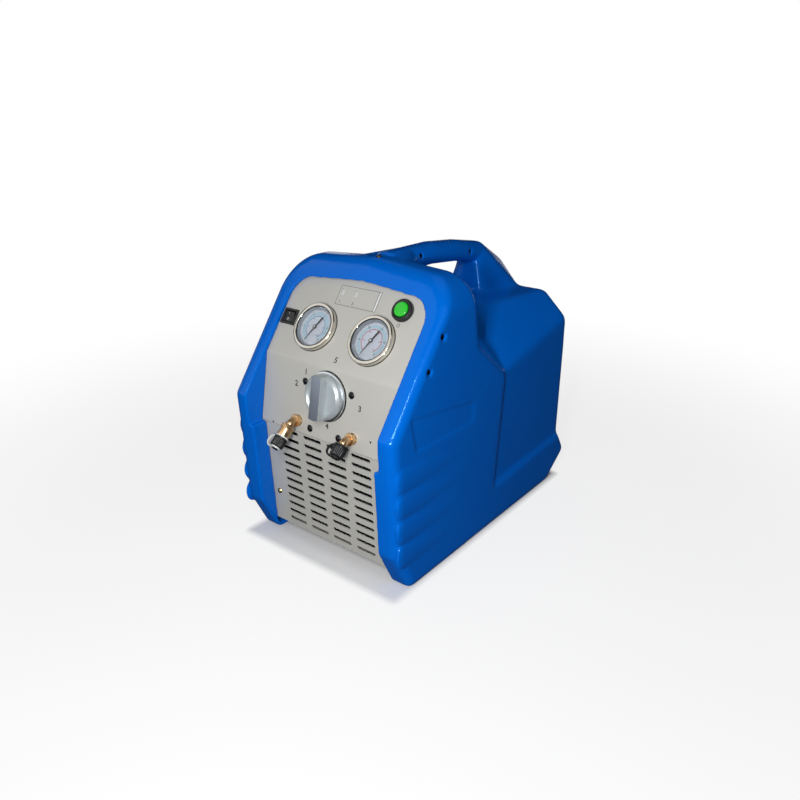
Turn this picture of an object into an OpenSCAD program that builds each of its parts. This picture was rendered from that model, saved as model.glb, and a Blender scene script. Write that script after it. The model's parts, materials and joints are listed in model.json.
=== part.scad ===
// Refrigerant recovery machine: a moulded carrying case with a folded control panel,
// two pressure gauges, a selector valve, two capped service ports, and the condenser,
// fan, motor and twin compressor that stand on a tray inside it.
// X runs to the right, Y to the rear and Z up. The origin is the middle of the base.

/* [Housing] */
// Width over the side walls
body_w = 250; // [230:1:280]
// Depth from the front bend to the rear wall
body_d = 400; // [370:1:440]
// Height of the front arch
body_h = 357; // [345:1:375]
// Wall of the moulding
wall = 5; // [3:0.5:6]
// Rounding of the front edges
edge_r = 12; // [9:0.5:14]
// Rounding of the base and shoulder edges
base_r = 10; // [8:0.5:12]
// Height of the bend where the front face starts to lean back
bend_h = 197; // [190:1:205]
// Height where the legs turn back to the toe
toe_h = 51; // [40:1:60]
// How far back the toe meets the floor
toe_back = 34; // [28:1:42]
// Corner radius of the front arch
arch_r = 42; // [34:1:50]
// Rise of the arch at its middle
crown = 6; // [2:0.5:9]
// How far back the top of the arch ends
rim_y = 149; // [144:1:156]
// Height of the rear body's top
rear_top_h = 280; // [270:1:286]
// Height of the rear shoulder at the back wall
shoulder_back_h = 245; // [236:1:252]
// Height of the rear shoulder at its lowest place
shoulder_low_h = 213; // [205:1:222]
// How far back the shoulder is lowest
shoulder_low_y = 231; // [222:1:240]
// How far the rear flanks are set in
flank_inset = 5; // [2:0.5:7]
// Height of the wide belt round the base
belt_h = 60; // [50:1:70]
// How far the rear bumper stands out
bumper = 15; // [8:1:18]
// Half width of the opening round the control panel
opening_half_w = 102.5; // [101.5:0.5:104]
// Half width of the opening round the grille
grille_half_w = 95.5; // [90:0.5:98]
// Height of the opening's top edge
opening_top_h = 333; // [328:1:336]

/* [Handle] */
// Width of the grip
handle_w = 34; // [28:1:40]
// Thickness of the grip
handle_t = 28; // [24:1:32]
// Height of the grip's top
handle_h = 360; // [357:1:366]

/* [Side ribs] */
// Number of grip ribs on each side
rib_count = 4; // [2:1:4]
// Spacing of the ribs
rib_pitch = 32; // [26:1:34]
// How far a rib stands out
rib_proud = 2; // [1:0.25:3]

/* [Panels] */
// Thickness of the panel sheets
sheet = 1.5; // [1:0.25:2]
// Height of the joint between the control panel and the grille
joint_h = 158; // [154:1:160]
// Height of the fold in the control panel
fold_h = 243; // [238:1:246]
// How far back the joint lies
joint_y = 25.5; // [24:0.5:30]
// Height of the grille's lower edge and of the tray
tray_h = 16.5; // [15:0.5:20]
// Columns of grille slots
slot_cols = 4; // [2:1:4]
// Rows of grille slots
slot_rows = 12; // [6:1:12]
// Spacing of the slot columns
slot_pitch_x = 38; // [34:0.5:40]
// Spacing of the slot rows
slot_pitch_z = 11.56; // [10:0.02:11.6]
// Length of a slot
slot_len = 29.5; // [22:0.5:31]
// Height of a slot
slot_t = 4.6; // [3:0.1:6]

/* [Gauges] */
// Spacing of the two gauges
gauge_gap = 86; // [80:1:92]
// How far the gauge centres stand above the fold
gauge_rise = 34.5; // [32:0.5:39]
// Outer radius of the bezel
gauge_r = 29.5; // [27:0.5:31]
// Depth of the case behind the panel
gauge_depth = 28; // [20:1:30]

/* [Selector] */
// How far the selector's centre stands above the panel joint
knob_rise = 53; // [49:0.5:56]
// Radius of the knob's skirt
knob_r = 29; // [25:0.5:31]
// Height of the grip bar over the panel
knob_tall = 21; // [17:0.5:24]
// Width of the grip bar
grip_w = 14; // [11:0.5:17]
// Radius of the valve stem
stem_r = 4; // [3:0.1:5]

/* [Controls] */
// Width and height of the rocker switch
switch_size = [22, 20]; // [18:0.5:22]
// Radius of the push button's cap
button_r = 10; // [8:0.25:11]
// Travel of the push button
button_travel = 3; // [1:0.25:3.5]

/* [Ports] */
// Spacing of the service ports
port_gap = 86; // [80:1:90]
// How far the port bases stand above the panel joint
port_rise = 14; // [11:0.5:18]
// Radius of the flare thread
flare_r = 5.6; // [5:0.1:6]
// Length of the flare thread
flare_len = 10; // [8:0.5:12]
// Radius of a port cap
cap_r = 8.5; // [7.5:0.25:9.5]
// Length of a port cap
cap_len = 14; // [12:0.5:16]
// Length of the filter body on the left port
filter_len = 15; // [14:0.5:22]

/* [Machinery] */
// Height of the drive shaft
shaft_h = 86; // [84:1:90]
// Radius of the drive shaft
shaft_r = 6; // [5:0.5:7]
// Radius of the fan
fan_r = 60; // [50:1:61]
// Number of fan blades
fan_blades = 5; // [3:1:7]
// Radius of the motor
motor_r = 50; // [44:1:52]
// Length of the motor
motor_len = 90; // [70:1:94]

/* [Hidden] */

// Overrun of every cut
over = 1;
// Gap between pieces that lie side by side
gap = 0.3;
// Running clearance of a shaft in its bore
run_gap = 0.08;
// Depth of every cut through a sheet
through = 9;
// Slope of the leaning front face and of the panel behind it, as depth for each unit of height
face_lean_share = 0.735;
leg_lean_share = 0.055;
panel_setback = 7.2;
fold_y = panel_setback + face_lean_share * (fold_h - bend_h);
mid_lean_share = (fold_y - joint_y) / (fold_h - joint_h);
grille_lean_share = -0.053;
// Lean of the arch's rear face
rim_lean_share = -0.18;

gauge_h = fold_h + gauge_rise;
knob_h = joint_h + knob_rise;
port_h = joint_h + port_rise;

half_w = body_w / 2;
half_flank = half_w - flank_inset;
front_y = -body_d / 2;
face_angle = atan(face_lean_share);
leg_angle = atan(leg_lean_share);
mid_angle = atan(mid_lean_share);
grille_angle = atan(grille_lean_share);
toe_y = leg_lean_share * (bend_h - toe_h);
toe_angle = atan((toe_back - toe_y) / toe_h);
arch_z = body_h - arch_r - crown;
panel_top_h = opening_top_h + wall + over;
// Facets of a ball inside the moulding, of a ball outside it and of a full circle
inner_fn = 12;
ball_fn = 24;
rim_fn = 48;

// Depth of the front face at a height on its leaning part
function face_y(z) = face_lean_share * (z - bend_h);
// Depth of the panel's front face at a height
function upper_y(z) = fold_y + face_lean_share * (z - fold_h);
function mid_y(z) = joint_y + mid_lean_share * (z - joint_h);
function grille_y(z) = joint_y + grille_lean_share * (z - joint_h);

// Places its children with y counted from the front bend
module from_front() translate([0, front_y, 0]) children();
// Stands its children on a panel face, with Z out of the panel and Y up along it
module on_upper(x, z) from_front() translate([x, upper_y(z), z]) rotate([90 - face_angle, 0, 0]) children();
module on_mid(x, z) from_front() translate([x, mid_y(z), z]) rotate([90 - mid_angle, 0, 0]) children();
module on_grille(x, z) from_front() translate([x, grille_y(z), z]) rotate([90 - grille_angle, 0, 0]) children();
module along_x(width) translate([-width / 2, 0, 0]) rotate([90, 0, 90]) linear_extrude(width) children();
module along_y(length) rotate([90, 0, 0]) translate([0, 0, -length]) linear_extrude(length) children();

// Housing
// A ball of the moulding's edge rounding, thinned by the skin for the inside of the wall
module ball(x, y, z, r, skin) translate([x, y, z]) sphere(r - skin, $fn = skin > 0 ? inner_fn : ball_fn);
module ball_pair(x, y, z, r, skin) for (side = [-1, 1]) ball(side * x, y, z, r, skin);
// Height of the base's balls: their lowest ring of facets lies on the floor
base_ball_h = base_r * cos(180 / ball_fn);
// A disc with a rounded rim, standing across the depth
module rim_disc(r, tube, skin)
  rotate([90, 0, 0])
    rotate_extrude($fn = skin > 0 ? ball_fn : rim_fn)
      translate([r - tube, 0])
        circle(tube - skin, $fn = skin > 0 ? inner_fn : ball_fn);
// Three discs that carry the top of the arch, leaning with the face
module arch_discs(lean, y, tube, skin)
  multmatrix([[1, 0, 0, 0], [0, 1, lean, y - lean * arch_z], [0, 0, 1, 0]]) {
    for (side = [-1, 1]) translate([side * (half_w - arch_r), 0, arch_z]) rim_disc(arch_r, tube, skin);
    translate([0, 0, arch_z + crown]) rim_disc(arch_r, tube, skin);
  }

rim_low_h = 262;
rim_low_y = rim_y + rim_lean_share * (rim_low_h - body_h);
module front_form(skin) hull() {
  arch_discs(face_lean_share, face_y(arch_z) + edge_r, edge_r, skin);
  arch_discs(rim_lean_share, rim_y + rim_lean_share * (arch_z - body_h) - base_r, base_r, skin);
  ball_pair(half_w - edge_r, edge_r, bend_h - edge_r * tan((face_angle - leg_angle) / 2), edge_r, skin);
  ball_pair(half_w - edge_r, toe_y + edge_r, toe_h + edge_r * tan((toe_angle + leg_angle) / 2), edge_r, skin);
  ball_pair(half_w - base_r, toe_back + base_r * tan((90 - toe_angle) / 2), base_ball_h, base_r, skin);
  ball_pair(half_w - base_r, rim_low_y - base_r, rim_low_h, base_r, skin);
  ball_pair(half_w - base_r, rim_low_y - base_r, base_ball_h, base_r, skin);
}

// The pillar behind the ribs falls from the arch to the lowest place of the shoulder
pillar_top_half_w = 75;
pillar_top_h = 290;
pillar_back_y = 213;
ridge_low_half_w = 49;
ridge_back_half_w = 85;
shoulder_drop_share = 0.45;
shoulder_low_ball_h = shoulder_low_h - shoulder_drop_share * base_r;
module pillar_form(skin) hull() {
  ball_pair(half_w - base_r, rim_low_y - base_r, base_ball_h, base_r, skin);
  ball_pair(half_w - base_r, rim_low_y - base_r, rim_low_h, base_r, skin);
  ball_pair(pillar_top_half_w, rim_low_y - base_r, pillar_top_h - base_r, base_r, skin);
  ball_pair(half_w - base_r, pillar_back_y - base_r, base_ball_h, base_r, skin);
  ball_pair(half_w - base_r, shoulder_low_y - base_r, shoulder_low_ball_h, base_r, skin);
  ball_pair(ridge_low_half_w, shoulder_low_y, rear_top_h - base_r, base_r, skin);
}

module rear_form(skin) hull() {
  ball_pair(half_flank - base_r, pillar_back_y - base_r, base_ball_h, base_r, skin);
  ball_pair(half_flank - base_r, shoulder_low_y, shoulder_low_ball_h, base_r, skin);
  ball_pair(ridge_low_half_w, shoulder_low_y, rear_top_h - base_r, base_r, skin);
  ball_pair(half_flank - base_r, body_d - base_r, belt_h, base_r, skin);
  ball_pair(half_flank - base_r, body_d - base_r, shoulder_back_h - shoulder_drop_share * base_r, base_r, skin);
  ball_pair(ridge_back_half_w - base_r / 2, body_d - base_r, rear_top_h - base_r, base_r, skin);
}

kick_len = 36;
kick_y = body_d - kick_len;
bumper_h = 38;
module belt_form(skin) hull() {
  ball_pair(half_w - base_r, rim_low_y - base_r, base_ball_h, base_r, skin);
  ball_pair(half_w - base_r, rim_low_y - base_r, belt_h - base_r, base_r, skin);
  ball_pair(half_w - base_r, kick_y, base_ball_h, base_r, skin);
  ball_pair(half_w - base_r, body_d + bumper - base_r, bumper_h, base_r, skin);
  ball_pair(half_w - base_r, body_d - base_r, belt_h, base_r, skin);
}

// The grip rises from the arch, runs back level and falls to a flared tail on the rear wall
grip_r = handle_t / 2;
grip_half_w = handle_w / 2 - grip_r;
grip_mid_y = 228;
grip_bend_y = 282;
grip_bend_drop = 5;
tail_y = 335;
tail_top_drop = 14;
tail_end_drop = 43;
tail_foot_y = 322;
tail_foot_half_w = 24;
tail_end_half_w = 36;
root_half_w = 34;
root_y = 178;
module grip_form() {
  hull() {
    ball_pair(root_half_w, rim_y - 2 * base_r, body_h - crown / 2 - base_r, base_r, 0);
    ball_pair(root_half_w, rim_y - base_r, body_h - 2 * crown - base_r, base_r, 0);
    ball_pair(grip_half_w, root_y, handle_h - grip_r, grip_r, 0);
  }
  hull() {
    ball_pair(grip_half_w, rim_y, handle_h - grip_r, grip_r, 0);
    ball_pair(grip_half_w, grip_mid_y, handle_h - grip_r, grip_r, 0);
  }
  hull() {
    ball_pair(grip_half_w, grip_mid_y, handle_h - grip_r, grip_r, 0);
    ball_pair(grip_half_w, grip_bend_y, handle_h - grip_bend_drop - grip_r, grip_r, 0);
  }
  hull() {
    ball_pair(grip_half_w, grip_bend_y, handle_h - grip_bend_drop - grip_r, grip_r, 0);
    ball_pair(grip_half_w, tail_y, handle_h - tail_top_drop - grip_r, grip_r, 0);
  }
}
module tail_form(skin) hull() {
  ball_pair(grip_half_w, tail_y, handle_h - tail_top_drop - grip_r, grip_r, skin);
  ball_pair(grip_half_w, body_d - grip_r, handle_h - tail_end_drop - grip_r, grip_r, skin);
  ball_pair(tail_foot_half_w, tail_foot_y, rear_top_h - base_r, base_r, skin);
  ball_pair(tail_end_half_w, body_d - base_r, rear_top_h - base_r, base_r, skin);
}

// Grip ribs across each side, long lenses that run round the front edge and sink into the side
rib_half_h = rib_pitch / 2;
rib_top_h = 150;
rib_front_y = 17;
rib_back_y = 148;
rib_fall = 9;
rib_step = 9;
rib_long_share = 0.7;
module side_rib(n) {
  z = rib_top_h - n * rib_pitch;
  for (side = [-1, 1])
    hull() {
      translate([side * (half_w - over), rib_front_y, z]) rib_lens();
      translate([side * (half_w - over - rib_proud - gap), rib_back_y - n * rib_step, z - rib_fall])
        rib_lens();
    }
}
module rib_lens() scale([(rib_proud + over) / rib_half_h, rib_long_share, 1]) sphere(rib_half_h, $fn = ball_fn);

// Outline of the front opening, wide round the control panel and narrower round the grille
opening_corner_r = 27;
opening_crown = 5;
module opening_outline(grow) {
  hull() {
    for (side = [-1, 1])
      translate([side * (opening_half_w - opening_corner_r), opening_top_h - opening_crown - opening_corner_r])
        circle(opening_corner_r + grow, $fn = rim_fn);
    translate([0, opening_top_h - opening_corner_r]) circle(opening_corner_r + grow, $fn = rim_fn);
    translate([-opening_half_w - grow, joint_h - grow]) square([2 * (opening_half_w + grow), over]);
  }
  translate([-grille_half_w - grow, -over]) square([2 * (grille_half_w + grow), joint_h + 2 * over]);
}
// Everything in front of the panels' front faces
module ahead_of_panels() along_x(body_w)
  polygon([
    [-body_d, -over], [grille_y(-over), -over], [joint_y, joint_h], [fold_y, fold_h],
    [upper_y(body_h + handle_t), body_h + handle_t], [-body_d, body_h + handle_t]
  ]);
module opening_tunnel(grow, past) intersection() {
  along_y(body_d) opening_outline(grow);
  translate([0, past, 0]) ahead_of_panels();
}

floor_front_y = 60;
window_half_w = 90;
window_low_h = 72;
window_top_h = 232;
window_r = 10;
module window_cut()
  translate([0, body_d - 3 * wall, 0])
    along_y(6 * wall)
      hull()
        for (x = [-1, 1], z = [window_low_h + window_r, window_top_h - window_r])
          translate([x * (window_half_w - window_r), z]) circle(window_r, $fn = rim_fn);

// Places of the fasteners, on the panel's width and height
valve_screw_places = [[-36, 220.5], [36, 220.5], [-22.6, 167], [22.6, 167]];
grille_screw_places = [[-87, 59], [87, 43.5]];
// Places of the side screws, counted back from the leaning face
side_screw_back = 17;
side_screw_h = [260, 293];
side_screw_r = 5;
side_screw_deep = 2.5;
thread_r = 2;
module at_side_screw(side, z)
  translate([side * (half_w - side_screw_deep), face_y(z) + side_screw_back, z]) rotate([0, side * 90, 0])
    children();
module side_screw_wells()
  for (side = [-1, 1], z = side_screw_h)
    at_side_screw(side, z) {
      cylinder(h = 2 * side_screw_deep, r = side_screw_r, $fn = ball_fn);
      side_screw_hole();
    }
module side_screw_hole() translate([0, 0, -2 * wall]) cylinder(h = 3 * wall, r = thread_r + gap, $fn = ball_fn);

// A shallow place for a label on each side
label_w = 125;
label_h = 46;
label_low_h = 171;
label_front_y = 30;
label_deep = 1.2;
label_shares = [[0, 1], [1, 0.6], [1, 0.15], [0.97, 0], [0.08, 0.07]];
module label_wells()
  for (side = [-1, 1])
    translate([side * half_w, 0, 0])
      along_x(2 * label_deep)
        polygon([for (p = label_shares) [label_front_y + p[0] * label_w, label_low_h + p[1] * label_h]]);

// Screws along the right side of the handle, as depth and height
handle_screw_ys = [193, 303];
handle_screw_drops = [11, 22];
handle_screw_places = [for (n = [0, 1]) [handle_screw_ys[n], handle_h - handle_screw_drops[n]]];
handle_screw_r = 3;
handle_screw_deep = 5;
handle_screw_head = 3;
module at_handle_screw(p) translate([handle_w / 2 - handle_screw_deep, p[0], p[1]]) rotate([0, 90, 0])
  children();
module handle_screw_wells()
  for (p = handle_screw_places) at_handle_screw(p)
    cylinder(h = 2 * handle_screw_deep, r = handle_screw_r, $fn = ball_fn);
top_screw_y = 131;
rear_screw_inset = 6;
rear_screw_places = [for (x = [-1, 1], z = [window_low_h + rear_screw_inset, window_top_h - rear_screw_inset])
  [x * (window_half_w - rear_screw_inset), z]];

module housing() color("royalblue") from_front() difference() {
  union() {
    front_form(0);
    pillar_form(0);
    rear_form(0);
    belt_form(0);
    grip_form();
    tail_form(0);
    for (n = [0:rib_count - 1]) side_rib(n);
  }
  difference() {
    union() {
      front_form(wall);
      pillar_form(wall);
      rear_form(wall);
      belt_form(wall);
      tail_form(wall);
    }
    opening_tunnel(wall, 0);
  }
  opening_tunnel(0, over);
  translate([-grille_half_w, -over, -over]) cube([2 * grille_half_w, floor_front_y + over, tray_h + over]);
  window_cut();
  side_screw_wells();
  handle_screw_wells();
  label_wells();
  translate([0, top_screw_y, body_h - 2 * wall]) cylinder(h = 2 * wall, r = thread_r + gap, $fn = ball_fn);
  translate([0, top_screw_y, body_h]) cylinder(h = handle_h, r = dome_r + gap, $fn = ball_fn);
}

// Tray and panels
tray_t = 2;
tray_clear = 5;
tray_low_h = wall + gap / 2;
tray_half_w = half_w - wall - tray_clear;
tray_front_y = 45;
tray_back_inset = 38;
tray_back_y = body_d - tray_back_inset;
tray_deep = tray_back_y - tray_front_y;
tray_side_h = tray_h - tray_low_h;
module base_tray() color("silver") from_front() difference() {
  translate([-tray_half_w, tray_front_y, tray_low_h]) cube([2 * tray_half_w, tray_deep, tray_side_h]);
  translate([-tray_half_w + tray_t, tray_front_y - over, tray_low_h - over])
    cube([2 * (tray_half_w - tray_t), tray_deep + 2 * over, tray_side_h - tray_t + over]);
  translate([-tray_half_w - over, tray_front_y - over, tray_low_h - over])
    cube([2 * (tray_half_w + over), floor_front_y - tray_front_y + 2 * over, tray_side_h - tray_t + over]);
}

panel_inset = 4.2;
panel_half_w = half_w - wall - panel_inset;
panel_corner_r = 30;
flange_len = 30;
module panel_outline(low, high, low_half_w) {
  polygon([
    [-low_half_w, low], [low_half_w, low], [panel_half_w, low + panel_half_w - low_half_w],
    [panel_half_w, high - panel_corner_r], [panel_half_w - panel_corner_r, high],
    [panel_corner_r - panel_half_w, high], [-panel_half_w, high - panel_corner_r],
    [-panel_half_w, low + panel_half_w - low_half_w]
  ]);
  for (side = [-1, 1])
    translate([side * (panel_half_w - panel_corner_r), high - panel_corner_r])
      circle(panel_corner_r, $fn = rim_fn);
}
module upper_sheet(front, back) polygon([
  [mid_y(joint_h + gap) + front, joint_h + gap], [fold_y + front, fold_h],
  [upper_y(panel_top_h) + front, panel_top_h], [upper_y(panel_top_h) + back, panel_top_h],
  [fold_y + back, fold_h], [mid_y(joint_h + gap) + back, joint_h + gap]
]);
gauge_hole_inset = 3;
gauge_hole_r = gauge_r - gauge_hole_inset;
port_hole_r = 7;
stem_hole_clear = 2;
switch_hole_inset = 1.5;
lamp_size = [5, 7.5];
lamp_places = [-25, -5];
lamp_h = 317;
button_place = [68, 311];
switch_place = [-90, 282];
upper_sheet_deep = sheet / cos(face_angle);
module control_panel() color("gainsboro") difference() {
  from_front() intersection() {
    union() {
      along_x(2 * panel_half_w) upper_sheet(0, upper_sheet_deep);
      for (side = [-1, 1]) translate([side * (panel_half_w - sheet / 2), 0, 0]) along_x(sheet)
        upper_sheet(0, flange_len);
    }
    translate([0, -over, 0]) along_y(body_d)
      panel_outline(joint_h - 2 * panel_half_w, panel_top_h, panel_half_w - over);
  }
  for (side = [-1, 1]) {
    on_upper(side * gauge_gap / 2, gauge_h)
      cylinder(h = through, r = gauge_hole_r, center = true, $fn = rim_fn);
    on_mid(side * port_gap / 2, port_h) cylinder(h = through, r = port_hole_r, center = true, $fn = rim_fn);
  }
  on_mid(0, knob_h) cylinder(h = through, r = stem_r + stem_hole_clear, center = true, $fn = rim_fn);
  on_upper(button_place[0], button_place[1])
    cylinder(h = through, r = button_r + gap, center = true, $fn = rim_fn);
  on_upper(switch_place[0], switch_place[1]) cube([
    switch_size[0] - 2 * switch_hole_inset, switch_size[1] - 2 * switch_hole_inset, through
  ], center = true);
  for (x = lamp_places) on_upper(x, lamp_h) cube([lamp_size[0], lamp_size[1], through], center = true);
  for (p = valve_screw_places) on_mid(p[0], p[1]) screw_hole();
  from_front() for (side = [-1, 1], z = side_screw_h) at_side_screw(side, z) side_screw_hole();
}
module screw_hole() cylinder(h = through, r = thread_r + gap, center = true, $fn = rim_fn);

slot_low_h = 26;
module slot_cut(x, z) on_grille(x, z) {
  cube([slot_len - slot_t, slot_t, through], center = true);
  for (side = [-1, 1])
    translate([side * (slot_len - slot_t) / 2, 0, 0])
      cylinder(h = through, r = slot_t / 2, center = true, $fn = rim_fn);
}
module grille_sheet(front, back) polygon([
  [grille_y(tray_h) + front, tray_h], [grille_y(joint_h - gap) + front, joint_h - gap],
  [grille_y(joint_h - gap) + back, joint_h - gap], [grille_y(tray_h) + back, tray_h]
]);
grille_foot_inset = 12;
grille_foot_half_w = panel_half_w - grille_foot_inset;
module grille_panel() color("gainsboro") difference() {
  from_front() {
    intersection() {
      union() {
        along_x(2 * panel_half_w) grille_sheet(0, sheet);
        for (side = [-1, 1]) translate([side * (panel_half_w - sheet / 2), 0, 0]) along_x(sheet)
          grille_sheet(0, flange_len);
      }
      translate([0, -over, 0]) along_y(body_d) panel_outline(tray_h, 2 * joint_h, grille_foot_half_w);
    }
    translate([-grille_foot_half_w, grille_y(tray_h) + over / 2, tray_h])
      cube([2 * grille_foot_half_w, floor_front_y - grille_y(tray_h), sheet]);
  }
  for (c = [0:slot_cols - 1], r = [0:slot_rows - 1])
    slot_cut((c - (slot_cols - 1) / 2) * slot_pitch_x, slot_low_h + r * slot_pitch_z);
  for (p = grille_screw_places) on_grille(p[0], p[1]) screw_hole();
}

rear_panel_y = body_d - wall - sheet - gap;
inlet_place = [-58, 96];
inlet_size = [27, 20];
rear_slot_rows = 9;
rear_slot_low_h = 124;
rear_panel_rim = 8;
module rear_panel() color("gainsboro") from_front() difference() {
  translate([-window_half_w - rear_panel_rim, rear_panel_y, window_low_h - rear_panel_rim])
    cube([2 * (window_half_w + rear_panel_rim), sheet, window_top_h - window_low_h + 2 * rear_panel_rim]);
  for (c = [0:slot_cols - 1], r = [0:rear_slot_rows - 1])
    translate([(c - (slot_cols - 1) / 2) * slot_pitch_x, rear_panel_y, rear_slot_low_h + r * slot_pitch_z])
      rear_slot();
  translate([inlet_place[0] - inlet_size[0] / 2, rear_panel_y - over, inlet_place[1] - inlet_size[1] / 2])
    cube([inlet_size[0], sheet + 2 * over, inlet_size[1]]);
  for (p = rear_screw_places) translate([p[0], rear_panel_y, p[1]]) rotate([90, 0, 0]) screw_hole();
}
module rear_slot() {
  cube([slot_len - slot_t, through, slot_t], center = true);
  for (side = [-1, 1])
    translate([side * (slot_len - slot_t) / 2, 0, 0])
      rotate([90, 0, 0]) cylinder(h = through, r = slot_t / 2, center = true, $fn = rim_fn);
}

// Fasteners
dome_r = 3.6;
valve_dome_r = 4.4;
dome_h = 2.2;
screw_len = 9;
// Radius of the ball that a domed head is cut from
function dome_ball_r(head_r, head_h) = (head_r * head_r + head_h * head_h) / (2 * head_h);
// A domed head that stands on Z = 0, over its shank
module dome_screw(head_r, head_h, shank_len) {
  intersection() {
    translate([0, 0, head_h - dome_ball_r(head_r, head_h)]) sphere(dome_ball_r(head_r, head_h), $fn = rim_fn);
    cylinder(h = 2 * head_h, r = 2 * head_r, $fn = rim_fn);
  }
  translate([0, 0, -shank_len]) cylinder(h = shank_len + head_h / 2, r = thread_r, $fn = rim_fn);
}
module valve_screws() color("black")
  for (p = valve_screw_places) on_mid(p[0], p[1]) dome_screw(valve_dome_r, dome_h, screw_len);
module grille_screws() color("silver")
  for (p = grille_screw_places) on_grille(p[0], p[1]) dome_screw(dome_r, dome_h, screw_len);
module side_screws() color("dimgray") from_front()
  for (side = [-1, 1], z = side_screw_h) at_side_screw(side, z) dome_screw(dome_r, dome_h / 2, 2 * wall);
module rear_screws() color("dimgray") from_front()
  for (p = rear_screw_places)
    translate([p[0], rear_panel_y + sheet, p[1]]) rotate([-90, 0, 0]) dome_screw(dome_r, dome_h, screw_len);
module handle_screws() color("dimgray") from_front()
  for (p = handle_screw_places) at_handle_screw(p)
    cylinder(h = handle_screw_head, r = handle_screw_r - gap, $fn = rim_fn);
module top_screw() color("goldenrod") from_front()
  translate([0, top_screw_y, body_h]) dome_screw(dome_r, dome_h / 2, wall);

// Gauges
case_inset = 3.5;
case_r = gauge_r - case_inset;
case_wall = 1;
bezel_tall = 7;
bezel_lip = 4;
bezel_back = 1.5;
dial_t = 0.8;
dial_z = 0.5;
lens_z = 4.6;
lens_t = 1.4;
pin_r = 0.8;
pin_top_z = 3.6;
needle_z = 2.2;
needle_t = 0.6;
needle_hub_r = 2.4;
needle_len = 19.5;
needle_tail = 14.5;
needle_w = 0.9;
needle_tail_w = 2.2;
needle_zero = 245;
socket_r = 6;
socket_len = 12;
module at_gauge(side) on_upper(side * gauge_gap / 2, gauge_h) children();
module gauge_case(side) color("dimgray") at_gauge(side) difference() {
  translate([0, 0, -gauge_depth]) cylinder(h = gauge_depth + dial_z, r = case_r, $fn = rim_fn);
  translate([0, 0, case_wall - gauge_depth])
    cylinder(h = gauge_depth + over, r = case_r - case_wall, $fn = rim_fn);
  translate([0, 0, -gauge_depth - over])
    cylinder(h = 2 * over + case_wall, r = socket_r / 2 + gap, $fn = rim_fn);
}
module gauge_dial(side) color("aliceblue") at_gauge(side) {
  translate([0, 0, dial_z]) cylinder(h = dial_t, r = case_r, $fn = rim_fn);
  translate([0, 0, dial_z]) cylinder(h = pin_top_z - dial_z, r = pin_r, $fn = rim_fn);
}
module gauge_bezel(side) color("silver") at_gauge(side) rotate_extrude($fn = rim_fn) polygon([
  [case_r + gap, 0], [gauge_r - bezel_back, 0], [gauge_r, bezel_back], [gauge_r, bezel_tall - bezel_back],
  [gauge_r - bezel_back, bezel_tall], [gauge_r - bezel_lip, bezel_tall], [gauge_r - bezel_lip, lens_z + lens_t],
  [case_r + gap, lens_z + lens_t]
]);
module gauge_lens(side) color("white", 0.35) at_gauge(side) {
  translate([0, 0, lens_z]) cylinder(h = lens_t, r = case_r, $fn = rim_fn);
  difference() {
    translate([0, 0, dial_z + dial_t]) cylinder(h = lens_z - dial_z - dial_t, r = case_r, $fn = rim_fn);
    translate([0, 0, dial_z]) cylinder(h = lens_z - dial_z + over / 2, r = case_r - case_wall, $fn = rim_fn);
  }
}
module gauge_needle(side) color("black") at_gauge(side) translate([0, 0, needle_z])
  rotate([0, 0, needle_zero]) difference() {
  union() {
    cylinder(h = 2 * needle_t, r = needle_hub_r, $fn = rim_fn);
    linear_extrude(needle_t) polygon([
      [needle_len, 0], [0, needle_w], [-needle_tail, needle_tail_w / 2],
      [-needle_tail, -needle_tail_w / 2], [0, -needle_w]
    ]);
  }
  translate([0, 0, -over]) cylinder(h = 4 * over, r = pin_r + run_gap, $fn = rim_fn);
}
module gauge_stems() color("goldenrod")
  for (side = [-1, 1]) at_gauge(side) {
    translate([0, 0, -gauge_depth - socket_len]) cylinder(h = socket_len, r = socket_r, $fn = 6);
    translate([0, 0, -gauge_depth - over]) cylinder(h = case_wall + 3 * over, r = socket_r / 2, $fn = rim_fn);
  }

// Selector valve behind the middle of the panel, with its knob in front
block_half_w = 54;
block_low = 50;
block_up = 19;
block_t = 32;
mid_sheet = upper_sheet_deep * cos(mid_angle);
stem_deep = 24;
port_shank_r = 6;
port_shank_len = 12;
skirt_low = 0.6;
skirt_t = 3.4;
knob_base_h = 5;
knob_bevel = 3;
scoop_deep = 2;
bore_deep = 10;
set_screw_r = 1.5;
knob_inset = 2;
knob_draft = 1;
knob_top = knob_tall - skirt_t - skirt_low;
disc_r = knob_r - knob_inset;
scoop_r = disc_r - knob_bevel - knob_draft;
set_screw_inset = 3;
module valve_block() color("silver") difference() {
  on_mid(0, knob_h) translate([-block_half_w, -block_low, -mid_sheet - block_t])
    cube([2 * block_half_w, block_low + block_up, block_t]);
  on_mid(0, knob_h) translate([0, 0, -stem_deep - gap])
    cylinder(h = stem_deep + over, r = stem_r + run_gap, $fn = rim_fn);
  for (side = [-1, 1]) on_mid(side * port_gap / 2, port_h)
    translate([0, 0, -mid_sheet - port_shank_len])
      cylinder(h = port_shank_len + over, r = port_shank_r + gap, $fn = rim_fn);
  for (p = valve_screw_places)
    on_mid(p[0], p[1]) translate([0, 0, -screw_len - over])
      cylinder(h = screw_len + over, r = thread_r + gap, $fn = rim_fn);
}
module valve_stem() color("goldenrod")
  on_mid(0, knob_h) translate([0, 0, -stem_deep])
    cylinder(h = stem_deep + skirt_low + skirt_t + bore_deep, r = stem_r, $fn = rim_fn);
module knob_skirt() color("whitesmoke") on_mid(0, knob_h) difference() {
  translate([0, 0, skirt_low]) cylinder(h = skirt_t, r = knob_r, $fn = rim_fn);
  cylinder(h = 2 * skirt_t + over, r = stem_r + run_gap, $fn = rim_fn);
}
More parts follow.
